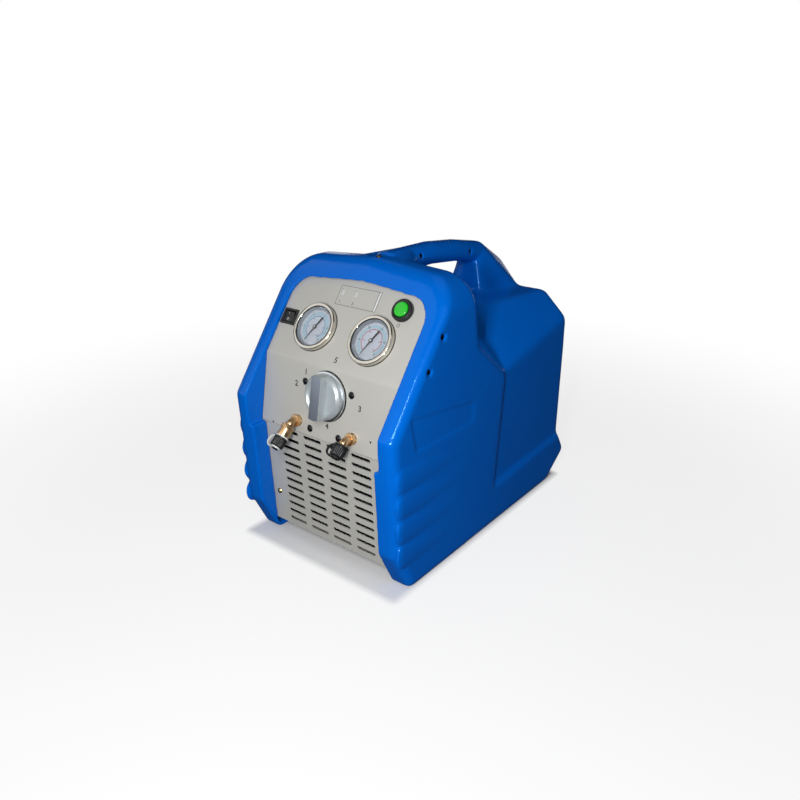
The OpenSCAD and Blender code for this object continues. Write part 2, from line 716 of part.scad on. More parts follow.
module selector_knob() color("silver") on_mid(0, knob_h) translate([0, 0, skirt_low + skirt_t]) difference() {
  union() {
    difference() {
      union() {
        cylinder(h = knob_base_h, r = disc_r, $fn = rim_fn);
        translate([0, 0, knob_base_h])
          cylinder(h = knob_bevel, r1 = disc_r, r2 = disc_r - knob_bevel, $fn = rim_fn);
      }
      translate([0, 0, knob_base_h + knob_bevel - scoop_deep])
        cylinder(h = knob_bevel, r1 = scoop_r - knob_bevel, r2 = scoop_r, $fn = rim_fn);
    }
    intersection() {
      cylinder(h = knob_top, r1 = disc_r, r2 = disc_r - knob_draft, $fn = rim_fn);
      translate([0, -knob_r, 0]) along_y(2 * knob_r) polygon([
        [-grip_w / 2 - knob_draft, 0], [grip_w / 2 + knob_draft, 0],
        [grip_w / 2, knob_top], [-grip_w / 2, knob_top]
      ]);
    }
  }
  translate([0, 0, -over]) cylinder(h = bore_deep + over, r = stem_r + run_gap, $fn = rim_fn);
  translate([-knob_r, 0, knob_base_h / 2]) rotate([0, 90, 0])
    cylinder(h = knob_r, r = set_screw_r + gap, $fn = rim_fn);
}
module knob_set_screw() color("black") on_mid(0, knob_h)
  translate([set_screw_inset - knob_r, 0, skirt_low + skirt_t + knob_base_h / 2])
    rotate([0, 90, 0]) cylinder(h = knob_r - set_screw_inset - stem_r - run_gap, r = set_screw_r, $fn = rim_fn);

// Rocker switch
frame_lip = 1.6;
frame_t = 2;
frame_deep = 14;
frame_wall = 1;
rocker_half_w = switch_size[0] / 2 - frame_lip - gap - frame_wall;
rocker_half_h = switch_size[1] / 2 - frame_lip - gap - frame_wall;
rocker_tilt = 7;
rocker_rise = 3.2;
rocker_dip = 1;
rocker_pivot_z = -3;
rocker_back = 6;
module at_switch() on_upper(switch_place[0], switch_place[1]) children();
module at_pivot() at_switch() translate([0, 0, rocker_pivot_z]) rotate([0, 90, 0]) children();
module switch_frame() color("black") {
  at_switch() difference() {
    union() {
      translate([-switch_size[0] / 2, -switch_size[1] / 2, 0]) cube([switch_size[0], switch_size[1], frame_t]);
      translate([-rocker_half_w - frame_wall, -rocker_half_h - frame_wall, -frame_deep])
        cube([2 * (rocker_half_w + frame_wall), 2 * (rocker_half_h + frame_wall), frame_deep + frame_t / 2]);
    }
    translate([-rocker_half_w - gap, -rocker_half_h - gap, over - frame_deep])
      cube([2 * (rocker_half_w + gap), 2 * (rocker_half_h + gap), frame_deep + frame_t + over]);
  }
  at_pivot() cylinder(h = 2 * rocker_half_w + frame_wall, r = pin_r, center = true, $fn = rim_fn);
}
// A rocker whose two pads fall towards the middle, tilted about its pivot
pad_half_h = rocker_half_h - frame_wall;
module switch_rocker() color("black") difference() {
  at_switch() translate([0, 0, rocker_pivot_z]) rotate([rocker_tilt, 0, 0]) along_x(2 * rocker_half_w) polygon([
    [-pad_half_h, -rocker_back / 2], [0, -rocker_back], [pad_half_h, -rocker_back / 2],
    [pad_half_h, rocker_rise - rocker_pivot_z], [0, rocker_rise - rocker_pivot_z - rocker_dip],
    [-pad_half_h, rocker_rise - rocker_pivot_z]
  ]);
  at_pivot() cylinder(h = 2 * switch_size[0], r = pin_r + run_gap, center = true, $fn = rim_fn);
}

// Push button
button_rim = 3;
button_collar_h = 6;
button_bevel = 1;
button_cap_up = 9;
button_cap_low = -8;
button_body_h = 16;
module at_button() on_upper(button_place[0], button_place[1]) children();
// A round pad with a bevelled edge
module bevelled_disc(r, h) {
  cylinder(h = h - button_bevel, r = r, $fn = rim_fn);
  translate([0, 0, h - button_bevel]) cylinder(h = button_bevel, r1 = r, r2 = r - button_bevel, $fn = rim_fn);
}
module button_bezel() color("black") at_button() difference() {
  bevelled_disc(button_r + button_rim, button_collar_h);
  translate([0, 0, -over]) cylinder(h = button_collar_h + 2 * over, r = button_r + gap, $fn = rim_fn);
}
module button_cap() color("lime") at_button()
  translate([0, 0, button_cap_low]) bevelled_disc(button_r, button_cap_up - button_cap_low);
// Contact block behind the panel, hollow for the cap's travel
module button_body() color("dimgray") at_button() difference() {
  translate([0, 0, button_cap_low - button_body_h])
    cylinder(h = button_body_h - button_cap_low - sheet, r = button_r + button_rim, $fn = rim_fn);
  translate([0, 0, button_cap_low - button_travel - gap])
    cylinder(h = 2 * button_body_h, r = button_r + gap, $fn = rim_fn);
}

lamp_proud = 0.4;
lamp_back = 5;
lamp_rim = 1;
module indicator_lamps() color("whitesmoke")
  for (x = lamp_places) on_upper(x, lamp_h) {
    translate([0, 0, (lamp_proud - sheet) / 2])
      cube([lamp_size[0] - gap, lamp_size[1] - gap, lamp_proud + sheet], center = true);
    translate([0, 0, -sheet - lamp_back / 2])
      cube([lamp_size[0] + lamp_rim, lamp_size[1] + lamp_rim, lamp_back], center = true);
  }

// Service ports: a hexagon collar, a bend and a flare thread under a cap
port_angle = 40;
bend_r = 8;
hex_r = 7.5;
hex_h = 6;
tube_r = 4.6;
bead_t = 1.6;
bead_proud = 0.5;
port_bend = port_angle + mid_angle;
left_stub = 6.5;
right_stub = 8;
left_lead = 3;
right_lead = 3;
module at_port(side) on_mid(side * port_gap / 2, port_h) children();
// Stands its children at the outlet of the bend, with Z along the thread
module at_outlet(side, stub) at_port(side) translate([0, -bend_r, stub]) rotate([port_bend, 0, 0])
  translate([0, bend_r, 0]) children();
module tube_bead() translate([0, 0, -bead_t / 2]) cylinder(h = bead_t, r = tube_r + bead_proud, $fn = rim_fn);
module port_fitting(side, stub, lead) color("goldenrod") {
  at_port(side) {
    cylinder(h = hex_h, r = hex_r, $fn = 6);
    translate([0, 0, -mid_sheet - port_shank_len + gap])
      cylinder(h = mid_sheet + port_shank_len, r = port_shank_r, $fn = rim_fn);
    cylinder(h = stub, r = tube_r, $fn = rim_fn);
    translate([0, 0, stub]) tube_bead();
    translate([0, -bend_r, stub])
      rotate([90, 0, 90]) rotate_extrude(angle = port_bend, $fn = 2 * rim_fn) translate([bend_r, 0])
        circle(tube_r, $fn = rim_fn);
  }
  at_outlet(side, stub) {
    cylinder(h = lead, r = tube_r, $fn = rim_fn);
    tube_bead();
  }
}
module flare_thread() {
  cylinder(h = flare_len, r = flare_r, $fn = rim_fn);
}
module left_port_fitting() port_fitting(-1, left_stub, left_lead);
filter_hex_h = 5;
filter_inset = 1;
module left_port_filter() color("goldenrod") at_outlet(-1, left_stub) translate([0, 0, left_lead]) {
  cylinder(h = filter_hex_h, r = cap_r, $fn = 6);
  translate([0, 0, filter_hex_h])
    cylinder(h = filter_len - filter_hex_h, r = cap_r - filter_inset, $fn = rim_fn);
  translate([0, 0, filter_len]) flare_thread();
}
module right_port_fitting() {
  port_fitting(1, right_stub, right_lead);
  color("goldenrod") at_outlet(1, right_stub) translate([0, 0, right_lead]) flare_thread();
}
cap_rim = 1.2;
tether_w = 3;
tether_t = 1.6;
tether_bow_r = (cap_len + gap) / 2;
tether_bow_x = cap_r + gap;
// A cup over the thread, with a rolled rim and a stud for its tether
stud_r = 3;
stud_rim = 1;
module port_cap() difference() {
  union() {
    translate([0, 0, tether_t + gap])
      cylinder(h = cap_len - tether_t - gap, r = cap_r - cap_rim / 2, $fn = rim_fn);
    translate([0, 0, tether_t + gap]) cylinder(h = 2 * cap_rim, r = cap_r, $fn = rim_fn);
    translate([0, 0, cap_len - 2 * cap_rim]) cylinder(h = 2 * cap_rim, r = cap_r, $fn = rim_fn);
    translate([0, 0, cap_len - over]) cylinder(h = tether_t + gap + 2 * over, r = stud_r, $fn = rim_fn);
    translate([0, 0, cap_len + tether_t + 2 * gap]) cylinder(h = over, r = stud_r + stud_rim, $fn = rim_fn);
  }
  translate([0, 0, -over]) cylinder(h = over + flare_len + gap, r = flare_r + gap, $fn = rim_fn);
}
// A flat strap with a loose ring round the neck and another round the cap's stud
module cap_tether() {
  difference() {
    union() {
      cylinder(h = tether_t, r = cap_r, $fn = rim_fn);
      translate([-tether_bow_x, -tether_w / 2, 0]) cube([tether_bow_x, tether_w, tether_t]);
      translate([0, 0, cap_len + gap]) cylinder(h = tether_t, r = stud_r + tether_w, $fn = rim_fn);
      translate([-tether_bow_x, -tether_w / 2, cap_len + gap]) cube([tether_bow_x, tether_w, tether_t]);
    }
    translate([0, 0, -over]) cylinder(h = tether_t + 2 * over, r = flare_r + 2 * gap, $fn = rim_fn);
    translate([0, 0, cap_len]) cylinder(h = tether_t + 2 * over, r = stud_r + gap, $fn = rim_fn);
  }
  translate([-tether_bow_x, tether_w / 2, tether_bow_r + tether_t / 2])
    rotate([90, -90, 0]) rotate_extrude(angle = 180, $fn = rim_fn)
      translate([tether_bow_r - tether_t / 2, 0]) square([tether_t, tether_w]);
}
module left_port_cap() color("black") at_outlet(-1, left_stub) translate([0, 0, left_lead + filter_len])
  port_cap();
module right_port_cap() color("black") at_outlet(1, right_stub) translate([0, 0, right_lead]) port_cap();
module left_cap_tether() color("whitesmoke") at_outlet(-1, left_stub)
  translate([0, 0, left_lead + filter_len]) cap_tether();
module right_cap_tether() color("black") at_outlet(1, right_stub) translate([0, 0, right_lead]) cap_tether();

// Condenser behind the grille
core_half_w = 86;
core_front_y = 46;
core_deep = 26;
core_top_h = 150;
core_low_h = tray_h + sheet;
fin_pitch = 6;
fin_cut = 3.5;
fin_deep = 6;
coil_r = 4.5;
coil_pitch = 2 * slot_pitch_z;
coil_rows = 5;
coil_low_h = 34;
coil_lead_y = 6;
coil_reach = 5;
module condenser_fins() color("darkgray") from_front() difference() {
  translate([-core_half_w, core_front_y, core_low_h])
    cube([2 * core_half_w, core_deep, core_top_h - core_low_h]);
  for (x = [-core_half_w + fin_pitch : fin_pitch : core_half_w - fin_pitch])
    translate([x - fin_cut / 2, core_front_y - over, core_low_h + fin_deep])
      cube([fin_cut, fin_deep + over, core_top_h - core_low_h - 2 * fin_deep]);
  for (n = [0:coil_rows - 1])
    translate([-core_half_w - over, core_front_y + coil_lead_y, coil_low_h + n * coil_pitch])
      rotate([0, 90, 0]) cylinder(h = 2 * (core_half_w + over), r = coil_r + run_gap, $fn = rim_fn);
}
// One serpentine tube: straight runs joined by half-ring bends outside the fins
module condenser_coil() color("peru") from_front() translate([0, core_front_y + coil_lead_y, coil_low_h]) {
  for (n = [0:coil_rows - 1])
    translate([-core_half_w - coil_reach, 0, n * coil_pitch])
      rotate([0, 90, 0]) cylinder(h = 2 * (core_half_w + coil_reach), r = coil_r, $fn = rim_fn);
  for (n = [0:coil_rows - 2])
    translate([(n % 2 == 0 ? 1 : -1) * (core_half_w + coil_reach), 0, (n + 1 / 2) * coil_pitch])
      rotate([90, n % 2 == 0 ? 90 : -90, 0])
        rotate_extrude(angle = 180, $fn = rim_fn) translate([coil_pitch / 2, 0]) circle(coil_r, $fn = rim_fn);
}

// Fan in its shroud
shroud_y = core_front_y + core_deep;
shroud_deep = 26;
shroud_half_w = 84;
fan_gap = 3;
fan_inset = 7;
fan_y = shroud_y + fan_inset;
fan_deep = 15;
hub_r = 16;
blade_pitch = 32;
blade_w = 30;
blade_t = 1.6;
module fan_shroud() color("black") from_front() difference() {
  translate([-shroud_half_w, shroud_y, tray_h]) cube([2 * shroud_half_w, shroud_deep, core_top_h - tray_h]);
  translate([-shroud_half_w + tray_t, shroud_y - over, tray_h + tray_t])
    cube([2 * (shroud_half_w - tray_t), shroud_deep - tray_t + over, core_top_h - tray_h - 2 * tray_t]);
  translate([0, shroud_y, shaft_h]) rotate([-90, 0, 0])
    cylinder(h = 2 * shroud_deep, r = fan_r + fan_gap, $fn = 2 * rim_fn);
}
module fan_rotor() color("black") from_front() translate([0, fan_y, shaft_h]) rotate([-90, 0, 0]) difference() {
  union() {
    cylinder(h = fan_deep, r = hub_r, $fn = rim_fn);
    intersection() {
      for (n = [0:fan_blades - 1]) rotate([0, 0, n * 360 / fan_blades])
        translate([hub_r - over, 0, fan_deep / 2])
        rotate([blade_pitch, 0, 0]) translate([0, -blade_w / 2, -blade_t / 2]) cube([fan_r, blade_w, blade_t]);
      cylinder(h = fan_deep, r = fan_r, $fn = 2 * rim_fn);
    }
  }
  translate([0, 0, -over]) cylinder(h = fan_deep + 2 * over, r = shaft_r + run_gap, $fn = rim_fn);
}

// Motor and twin compressor on one cradle
motor_clear = 16;
motor_y = shroud_y + shroud_deep + motor_clear;
bearing_r = 12;
fin_ring = 3;
motor_fins = 6;
motor_fin_share = 0.14;
motor_fin_step_share = 0.146;
saddle_share = 0.7;
saddle_inset = 8;
crank_y = motor_y + motor_len + gap;
crank_len = 60;
crank_half_w = 42;
crank_up = 44;
crank_top_h = shaft_h + crank_up;
mount_h = 10;
plate_low_h = tray_h + mount_h;
plate_t = 3;
plate_half_w = 66;
plate_inset = 6;
plate_y = motor_y - plate_inset;
plate_len = motor_len + crank_len + 3 * plate_inset;
shaft_nose = 3;
shaft_front_y = fan_y - shaft_nose;
shaft_in_crank = 30;
module drive_shaft() color("silver") from_front() translate([0, shaft_front_y, shaft_h]) rotate([-90, 0, 0])
  cylinder(h = crank_y + shaft_in_crank - shaft_front_y, r = shaft_r, $fn = rim_fn);
module motor_body() color("dimgray") from_front() translate([0, motor_y, shaft_h]) rotate([-90, 0, 0])
  difference() {
  union() {
    cylinder(h = motor_len, r = motor_r - fin_ring, $fn = 2 * rim_fn);
    for (n = [0:motor_fins - 1])
      translate([0, 0, motor_len * (motor_fin_share + n * motor_fin_step_share)])
        cylinder(h = fin_ring, r = motor_r, $fn = 2 * rim_fn);
    translate([0, 0, -fin_ring]) cylinder(h = 2 * fin_ring, r = bearing_r, $fn = rim_fn);
  }
  translate([0, 0, -2 * fin_ring]) cylinder(h = motor_len + 3 * fin_ring, r = shaft_r + run_gap, $fn = rim_fn);
}
module motor_cradle() color("silver") from_front() {
  translate([-plate_half_w, plate_y, plate_low_h]) cube([2 * plate_half_w, plate_len, plate_t]);
  difference() {
    translate([-motor_r * saddle_share, motor_y + saddle_inset, plate_low_h + plate_t / 2])
      cube([2 * motor_r * saddle_share, motor_len - 2 * saddle_inset, shaft_h - plate_low_h - motor_r / 2]);
    translate([0, motor_y, shaft_h]) rotate([-90, 0, 0])
      cylinder(h = motor_len, r = motor_r + gap, $fn = 2 * rim_fn);
  }
}
module crankcase() color("gray") from_front() difference() {
  translate([-crank_half_w, crank_y, plate_low_h + plate_t])
    cube([2 * crank_half_w, crank_len, crank_top_h - plate_low_h - plate_t]);
  translate([0, crank_y - over, shaft_h]) rotate([-90, 0, 0])
    cylinder(h = shaft_in_crank + over + gap, r = shaft_r + run_gap, $fn = rim_fn);
}
barrel_r = 24;
barrel_len = 34;
barrel_fins = 5;
barrel_fin_t = 2;
head_w = 50;
head_t = 14;
head_bolt_r = 3;
head_bolt_h = 3;
head_bolt_pitch = 38;
barrel_y = crank_y + crank_len / 2;
module at_cylinder(side) from_front() translate([side * crank_half_w, barrel_y, shaft_h])
  rotate([0, side * 90, 0]) children();
module cylinder_barrels() color("gray") for (side = [-1, 1]) at_cylinder(side) {
  cylinder(h = barrel_len, r = barrel_r - barrel_fin_t * 2, $fn = rim_fn);
  for (n = [0:barrel_fins - 1])
    translate([0, 0, (n + 1 / 2) * barrel_len / barrel_fins - barrel_fin_t / 2])
      cylinder(h = barrel_fin_t, r = barrel_r, $fn = rim_fn);
}
module cylinder_heads() color("silver") for (side = [-1, 1]) at_cylinder(side) translate([0, 0, barrel_len]) {
  translate([-head_w / 2, -head_w / 2, 0]) cube([head_w, head_w, head_t]);
  for (x = [-1, 1], y = [-1, 1])
    translate([x * head_bolt_pitch / 2, y * head_bolt_pitch / 2, head_t])
      cylinder(h = head_bolt_h, r = head_bolt_r, $fn = 6);
}
mount_r = 9;
mount_waist_r = 7;
mount_inset = 14;
module vibration_mounts() color("black") from_front()
  for (x = [-1, 1], y = [plate_y + mount_inset, plate_y + plate_len - mount_inset])
    translate([x * (plate_half_w - mount_inset), y, tray_h]) {
      cylinder(h = mount_h / 2, r1 = mount_r, r2 = mount_waist_r, $fn = rim_fn);
      translate([0, 0, mount_h / 2]) cylinder(h = mount_h / 2, r1 = mount_waist_r, r2 = mount_r, $fn = rim_fn);
    }

// Electrical pieces on the tray
capacitor_r = 18;
capacitor_h = 78;
side_room = 5;
capacitor_x = -(half_flank - wall - side_room - capacitor_r);
box_size = [34, 60, 52];
box_x = half_flank - wall - side_room - box_size[0];
electric_inset = 20;
electric_y = motor_y + electric_inset;
terminal_r = 2;
terminal_h = 8;
module run_capacitor() color("silver") from_front() translate([capacitor_x, electric_y + capacitor_r, tray_h]) {
  cylinder(h = capacitor_h, r = capacitor_r, $fn = rim_fn);
  for (x = [-1, 1]) translate([x * capacitor_r / 2, 0, capacitor_h])
    cylinder(h = terminal_h, r = terminal_r, $fn = rim_fn);
}
module relay_box() color("ivory") from_front() translate([box_x, electric_y, tray_h]) {
  cube([box_size[0], box_size[1], box_size[2] - tray_t]);
  translate([-over, -over, box_size[2] - tray_t])
    cube([box_size[0] + 2 * over, box_size[1] + 2 * over, tray_t]);
}
switch_body_r = 9;
switch_body_len = 22;
switch_nut_h = 8;
switch_nut_r = 8;
pressure_switch_x = 34;
module pressure_switch() color("dimgray") on_mid(pressure_switch_x, knob_h)
  translate([0, 0, -mid_sheet - block_t]) {
  translate([0, 0, -switch_nut_h]) cylinder(h = switch_nut_h, r = switch_nut_r, $fn = 6);
  translate([0, 0, -switch_nut_h - switch_body_len])
    cylinder(h = switch_body_len, r = switch_body_r, $fn = rim_fn);
}

// Copper pipes: straight runs with brazed elbows
pipe_r = 4;
elbow_r = pipe_r + gap;
module elbow(x, y, z) translate([x, y, z]) sphere(elbow_r, $fn = rim_fn);
// One run of pipe along an axis
module run_y(x, y0, y1, z) translate([x, y0, z]) rotate([-90, 0, 0])
  cylinder(h = y1 - y0, r = pipe_r, $fn = rim_fn);
module run_x(x0, x1, y, z) translate([x0, y, z]) rotate([0, 90, 0])
  cylinder(h = x1 - x0, r = pipe_r, $fn = rim_fn);
module run_z(x, y, z0, z1) translate([x, y, z0]) cylinder(h = z1 - z0, r = pipe_r, $fn = rim_fn);
head_x = crank_half_w + barrel_len + head_t / 2;
head_top_h = shaft_h + head_w / 2;
pipe_high_h = 196;
pipe_start_x = 22;
block_back_y = mid_y(pipe_high_h + pipe_r) + (mid_sheet + block_t) / cos(mid_angle) + gap / 2;
module suction_pipe() color("peru") from_front() {
  run_y(-pipe_start_x, block_back_y, barrel_y, pipe_high_h);
  elbow(-pipe_start_x, barrel_y, pipe_high_h);
  run_x(-head_x, -pipe_start_x, barrel_y, pipe_high_h);
  elbow(-head_x, barrel_y, pipe_high_h);
  run_z(-head_x, barrel_y, head_top_h, pipe_high_h);
}
coil_top_h = coil_low_h + (coil_rows - 1) * coil_pitch;
coil_end_x = core_half_w + coil_reach;
discharge_h = 166;
coil_y = core_front_y + coil_lead_y;
drop_x = coil_end_x + pipe_r + coil_r;
module discharge_pipe() color("peru") from_front() {
  run_z(head_x, barrel_y, head_top_h, discharge_h);
  elbow(head_x, barrel_y, discharge_h);
  run_y(head_x, coil_y, barrel_y, discharge_h);
  elbow(head_x, coil_y, discharge_h);
  run_x(head_x, drop_x, coil_y, discharge_h);
  elbow(drop_x, coil_y, discharge_h);
  run_z(drop_x, coil_y, coil_top_h, discharge_h);
  elbow(drop_x, coil_y, coil_top_h);
  run_x(coil_end_x, drop_x, coil_y, coil_top_h);
}

// Power inlet in the rear panel, a socket with three blades
inlet_flange = 4;
inlet_flange_t = 2;
inlet_deep = 18;
inlet_wall = 2;
blade_size = [2, 4];
blade_gap = 14;
blade_long = 10;
blade_rise = 2;
module power_inlet() color("black") from_front()
  translate([inlet_place[0], rear_panel_y + sheet, inlet_place[1]]) rotate([-90, 0, 0]) {
    difference() {
      union() {
        translate([-inlet_size[0] / 2 - inlet_flange, -inlet_size[1] / 2 - inlet_flange, 0])
          cube([inlet_size[0] + 2 * inlet_flange, inlet_size[1] + 2 * inlet_flange, inlet_flange_t]);
        translate([-inlet_size[0] / 2 + gap, -inlet_size[1] / 2 + gap, -inlet_deep])
          cube([inlet_size[0] - 2 * gap, inlet_size[1] - 2 * gap, inlet_deep + over]);
      }
      translate([-inlet_size[0] / 2 + inlet_wall, -inlet_size[1] / 2 + inlet_wall, inlet_wall - inlet_deep])
        cube([inlet_size[0] - 2 * inlet_wall, inlet_size[1] - 2 * inlet_wall, 2 * inlet_deep]);
    }
    for (p = [[-blade_gap / 2, blade_rise], [blade_gap / 2, blade_rise], [0, -blade_rise]])
      translate([p[0] - blade_size[0] / 2, p[1] - blade_size[1] / 2, inlet_wall - inlet_deep - over])
        cube([blade_size[0], blade_size[1], blade_long]);
  }

housing();
base_tray();
control_panel();
grille_panel();
rear_panel();
valve_screws();
grille_screws();
side_screws();
rear_screws();
handle_screws();
top_screw();
gauge_case(-1);  // left_gauge_case
gauge_dial(-1);  // left_gauge_dial
gauge_bezel(-1);  // left_gauge_bezel
gauge_lens(-1);  // left_gauge_lens
gauge_needle(-1);  // left_gauge_needle
gauge_case(1);  // right_gauge_case
gauge_dial(1);  // right_gauge_dial
gauge_bezel(1);  // right_gauge_bezel
gauge_lens(1);  // right_gauge_lens
gauge_needle(1);  // right_gauge_needle
gauge_stems();
valve_block();
valve_stem();
selector_knob();
knob_skirt();
knob_set_screw();
switch_frame();
switch_rocker();
button_bezel();
button_cap();
button_body();
indicator_lamps();
left_port_fitting();
left_port_filter();
left_port_cap();
left_cap_tether();
right_port_fitting();
right_port_cap();
right_cap_tether();
condenser_fins();
condenser_coil();
fan_shroud();
fan_rotor();
drive_shaft();
motor_body();
motor_cradle();
crankcase();
cylinder_barrels();
cylinder_heads();
vibration_mounts();
run_capacitor();
relay_box();
pressure_switch();
suction_pipe();
discharge_pipe();
power_inlet();
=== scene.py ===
import json
import logging
import math
from dataclasses import dataclass, field
from enum import Enum
from typing import Callable, Iterable, Sequence

import bmesh
import bpy
from mathutils import Matrix, Vector
from mathutils.bvhtree import BVHTree


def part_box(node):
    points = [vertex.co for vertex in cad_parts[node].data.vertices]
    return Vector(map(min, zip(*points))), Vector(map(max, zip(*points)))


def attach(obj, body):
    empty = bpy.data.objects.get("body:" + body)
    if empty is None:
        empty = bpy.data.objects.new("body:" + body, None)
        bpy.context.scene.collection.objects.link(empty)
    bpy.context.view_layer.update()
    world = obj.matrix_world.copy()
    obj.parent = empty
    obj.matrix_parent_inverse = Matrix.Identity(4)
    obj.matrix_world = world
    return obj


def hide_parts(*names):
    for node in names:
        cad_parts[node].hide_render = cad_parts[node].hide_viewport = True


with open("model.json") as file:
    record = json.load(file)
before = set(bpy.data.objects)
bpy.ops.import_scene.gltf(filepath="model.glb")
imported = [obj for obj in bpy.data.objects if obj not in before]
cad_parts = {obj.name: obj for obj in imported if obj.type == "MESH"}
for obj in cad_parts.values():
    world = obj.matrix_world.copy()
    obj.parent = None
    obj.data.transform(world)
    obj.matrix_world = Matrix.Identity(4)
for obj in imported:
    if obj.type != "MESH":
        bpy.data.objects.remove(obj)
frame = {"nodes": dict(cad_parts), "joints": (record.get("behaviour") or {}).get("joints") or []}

log = logging.getLogger("recovery_machine")
MM = 0.001
MACHINE = "machine"
Point2 = tuple[float, float]


def linear(code: str) -> tuple[float, float, float, float]:
    """Turns an sRGB hex colour into Blender's linear values.

    Args:
        code: Six hex digits after a hash sign.

    Returns:
        Red, green, blue and an alpha of one.
    """
    shares = [int(code[i : i + 2], 16) / 255 for i in (1, 3, 5)]
    values = [s / 12.92 if s <= 0.04045 else ((s + 0.055) / 1.055) ** 2.4 for s in shares]
    return (values[0], values[1], values[2], 1.0)


def per_metre(size_mm: float) -> float:
    """Pattern repeats in a metre for a grain of size_mm."""
    return 1000.0 / size_mm


def add_node(
    tree: bpy.types.NodeTree, kind: str, inputs: dict[object, object] | None = None, **settings: object
) -> bpy.types.Node:
    """Adds one shader node.

    Args:
        tree: The material's node tree.
        kind: Blender's name of the node type.
        inputs: Socket name or number to a value, or to a socket that feeds it.
        **settings: Attributes of the node.

    Returns:
        The new node.
    """
    node = tree.nodes.new(kind)
    for name, value in settings.items():
        setattr(node, name, value)
    for socket, value in (inputs or {}).items():
        if isinstance(value, bpy.types.NodeSocket):
            tree.links.new(value, node.inputs[socket])
        else:
            node.inputs[socket].default_value = value
    return node


class Weight(Enum):
    """How bold a printed mark is, as the ink's spread in millimetres."""

    FINE = 0.0
    BOLD = 0.16


@dataclass(frozen=True)
class Finish:
    """A surface: what it is made of and how it was made.

    The grain is a noise of a real size, and it moves the colour, the roughness and the bump.
    """

    name: str
    colour: str
    shade: str
    roughness: float = 0.4
    roughness_spread: float = 0.08
    metallic: float = 0.0
    ior: float = 1.5
    grain_mm: float = 1.0
    grain_depth_mm: float = 0.02
    cloud_mm: float = 60.0
    coat: float = 0.0
    reflection: str = "#FFFFFF"
    shine: float = 0.5

    def material(self) -> bpy.types.Material:
        """The Blender material, made once."""
        found = bpy.data.materials.get(self.name)
        if found is not None:
            return found
        made = bpy.data.materials.new(self.name)
        made.use_nodes = True
        tree = made.node_tree
        shader = tree.nodes["Principled BSDF"]
        shader.inputs["Metallic"].default_value = self.metallic
        if not self.metallic:
            shader.inputs["IOR"].default_value = self.ior
            shader.inputs["Specular Tint"].default_value = linear(self.reflection)
            shader.inputs["Specular IOR Level"].default_value = self.shine
        if self.coat:
            shader.inputs["Coat Weight"].default_value = self.coat
            shader.inputs["Coat Roughness"].default_value = 0.12
        place = add_node(tree, "ShaderNodeTexCoord")
        self.dress(tree, shader, place.outputs["Object"])
        made.diffuse_color = linear(self.colour)
        return made

    def dress(self, tree: bpy.types.NodeTree, shader: bpy.types.Node, place: bpy.types.NodeSocket) -> None:
        """Joins colour, roughness and bump to the shader.

        Args:
            tree: The material's node tree.
            shader: Its Principled shader.
            place: The coordinates that the patterns lie on.
        """
        cloud = add_node(tree, "ShaderNodeTexNoise", {
            "Vector": place, "Scale": per_metre(self.cloud_mm), "Detail": 3.0,
        })
        grain = add_node(tree, "ShaderNodeTexNoise", {
            "Vector": place, "Scale": per_metre(self.grain_mm), "Detail": 2.0,
        })
        self.colour_between(tree, shader, cloud.outputs["Fac"])
        self.roughen(tree, shader, grain.outputs["Fac"])
        self.raise_grain(tree, shader, grain.outputs["Fac"])

    def colour_between(self, tree: bpy.types.NodeTree, shader: bpy.types.Node, share: bpy.types.NodeSocket) -> None:
        """Mixes the shade and the colour by a pattern.

        Args:
            tree: The material's node tree.
            shader: Its Principled shader.
            share: The pattern, from 0 to 1.
        """
        mix = add_node(tree, "ShaderNodeMix", {
            "Factor": share, 6: linear(self.shade), 7: linear(self.colour),
        }, data_type="RGBA")
        tree.links.new(mix.outputs[2], shader.inputs["Base Color"])

    def roughen(self, tree: bpy.types.NodeTree, shader: bpy.types.Node, share: bpy.types.NodeSocket) -> None:
        """Spreads the roughness about its middle value by a pattern.

        Args:
            tree: The material's node tree.
            shader: Its Principled shader.
            share: The pattern, from 0 to 1.
        """
        spread = add_node(tree, "ShaderNodeMapRange", {
            "Value": share,
            "To Min": max(0.02, self.roughness - self.roughness_spread),
            "To Max": min(1.0, self.roughness + self.roughness_spread),
        })
        tree.links.new(spread.outputs["Result"], shader.inputs["Roughness"])

    def raise_grain(self, tree: bpy.types.NodeTree, shader: bpy.types.Node, height: bpy.types.NodeSocket) -> None:
        """Turns a pattern into a bump of the grain's depth.

        Args:
            tree: The material's node tree.
            shader: Its Principled shader.
            height: The pattern, from 0 to 1.
        """
        bump = add_node(tree, "ShaderNodeBump", {
            "Height": height, "Distance": self.grain_depth_mm * MM, "Strength": 1.0,
        })
        tree.links.new(bump.outputs["Normal"], shader.inputs["Normal"])


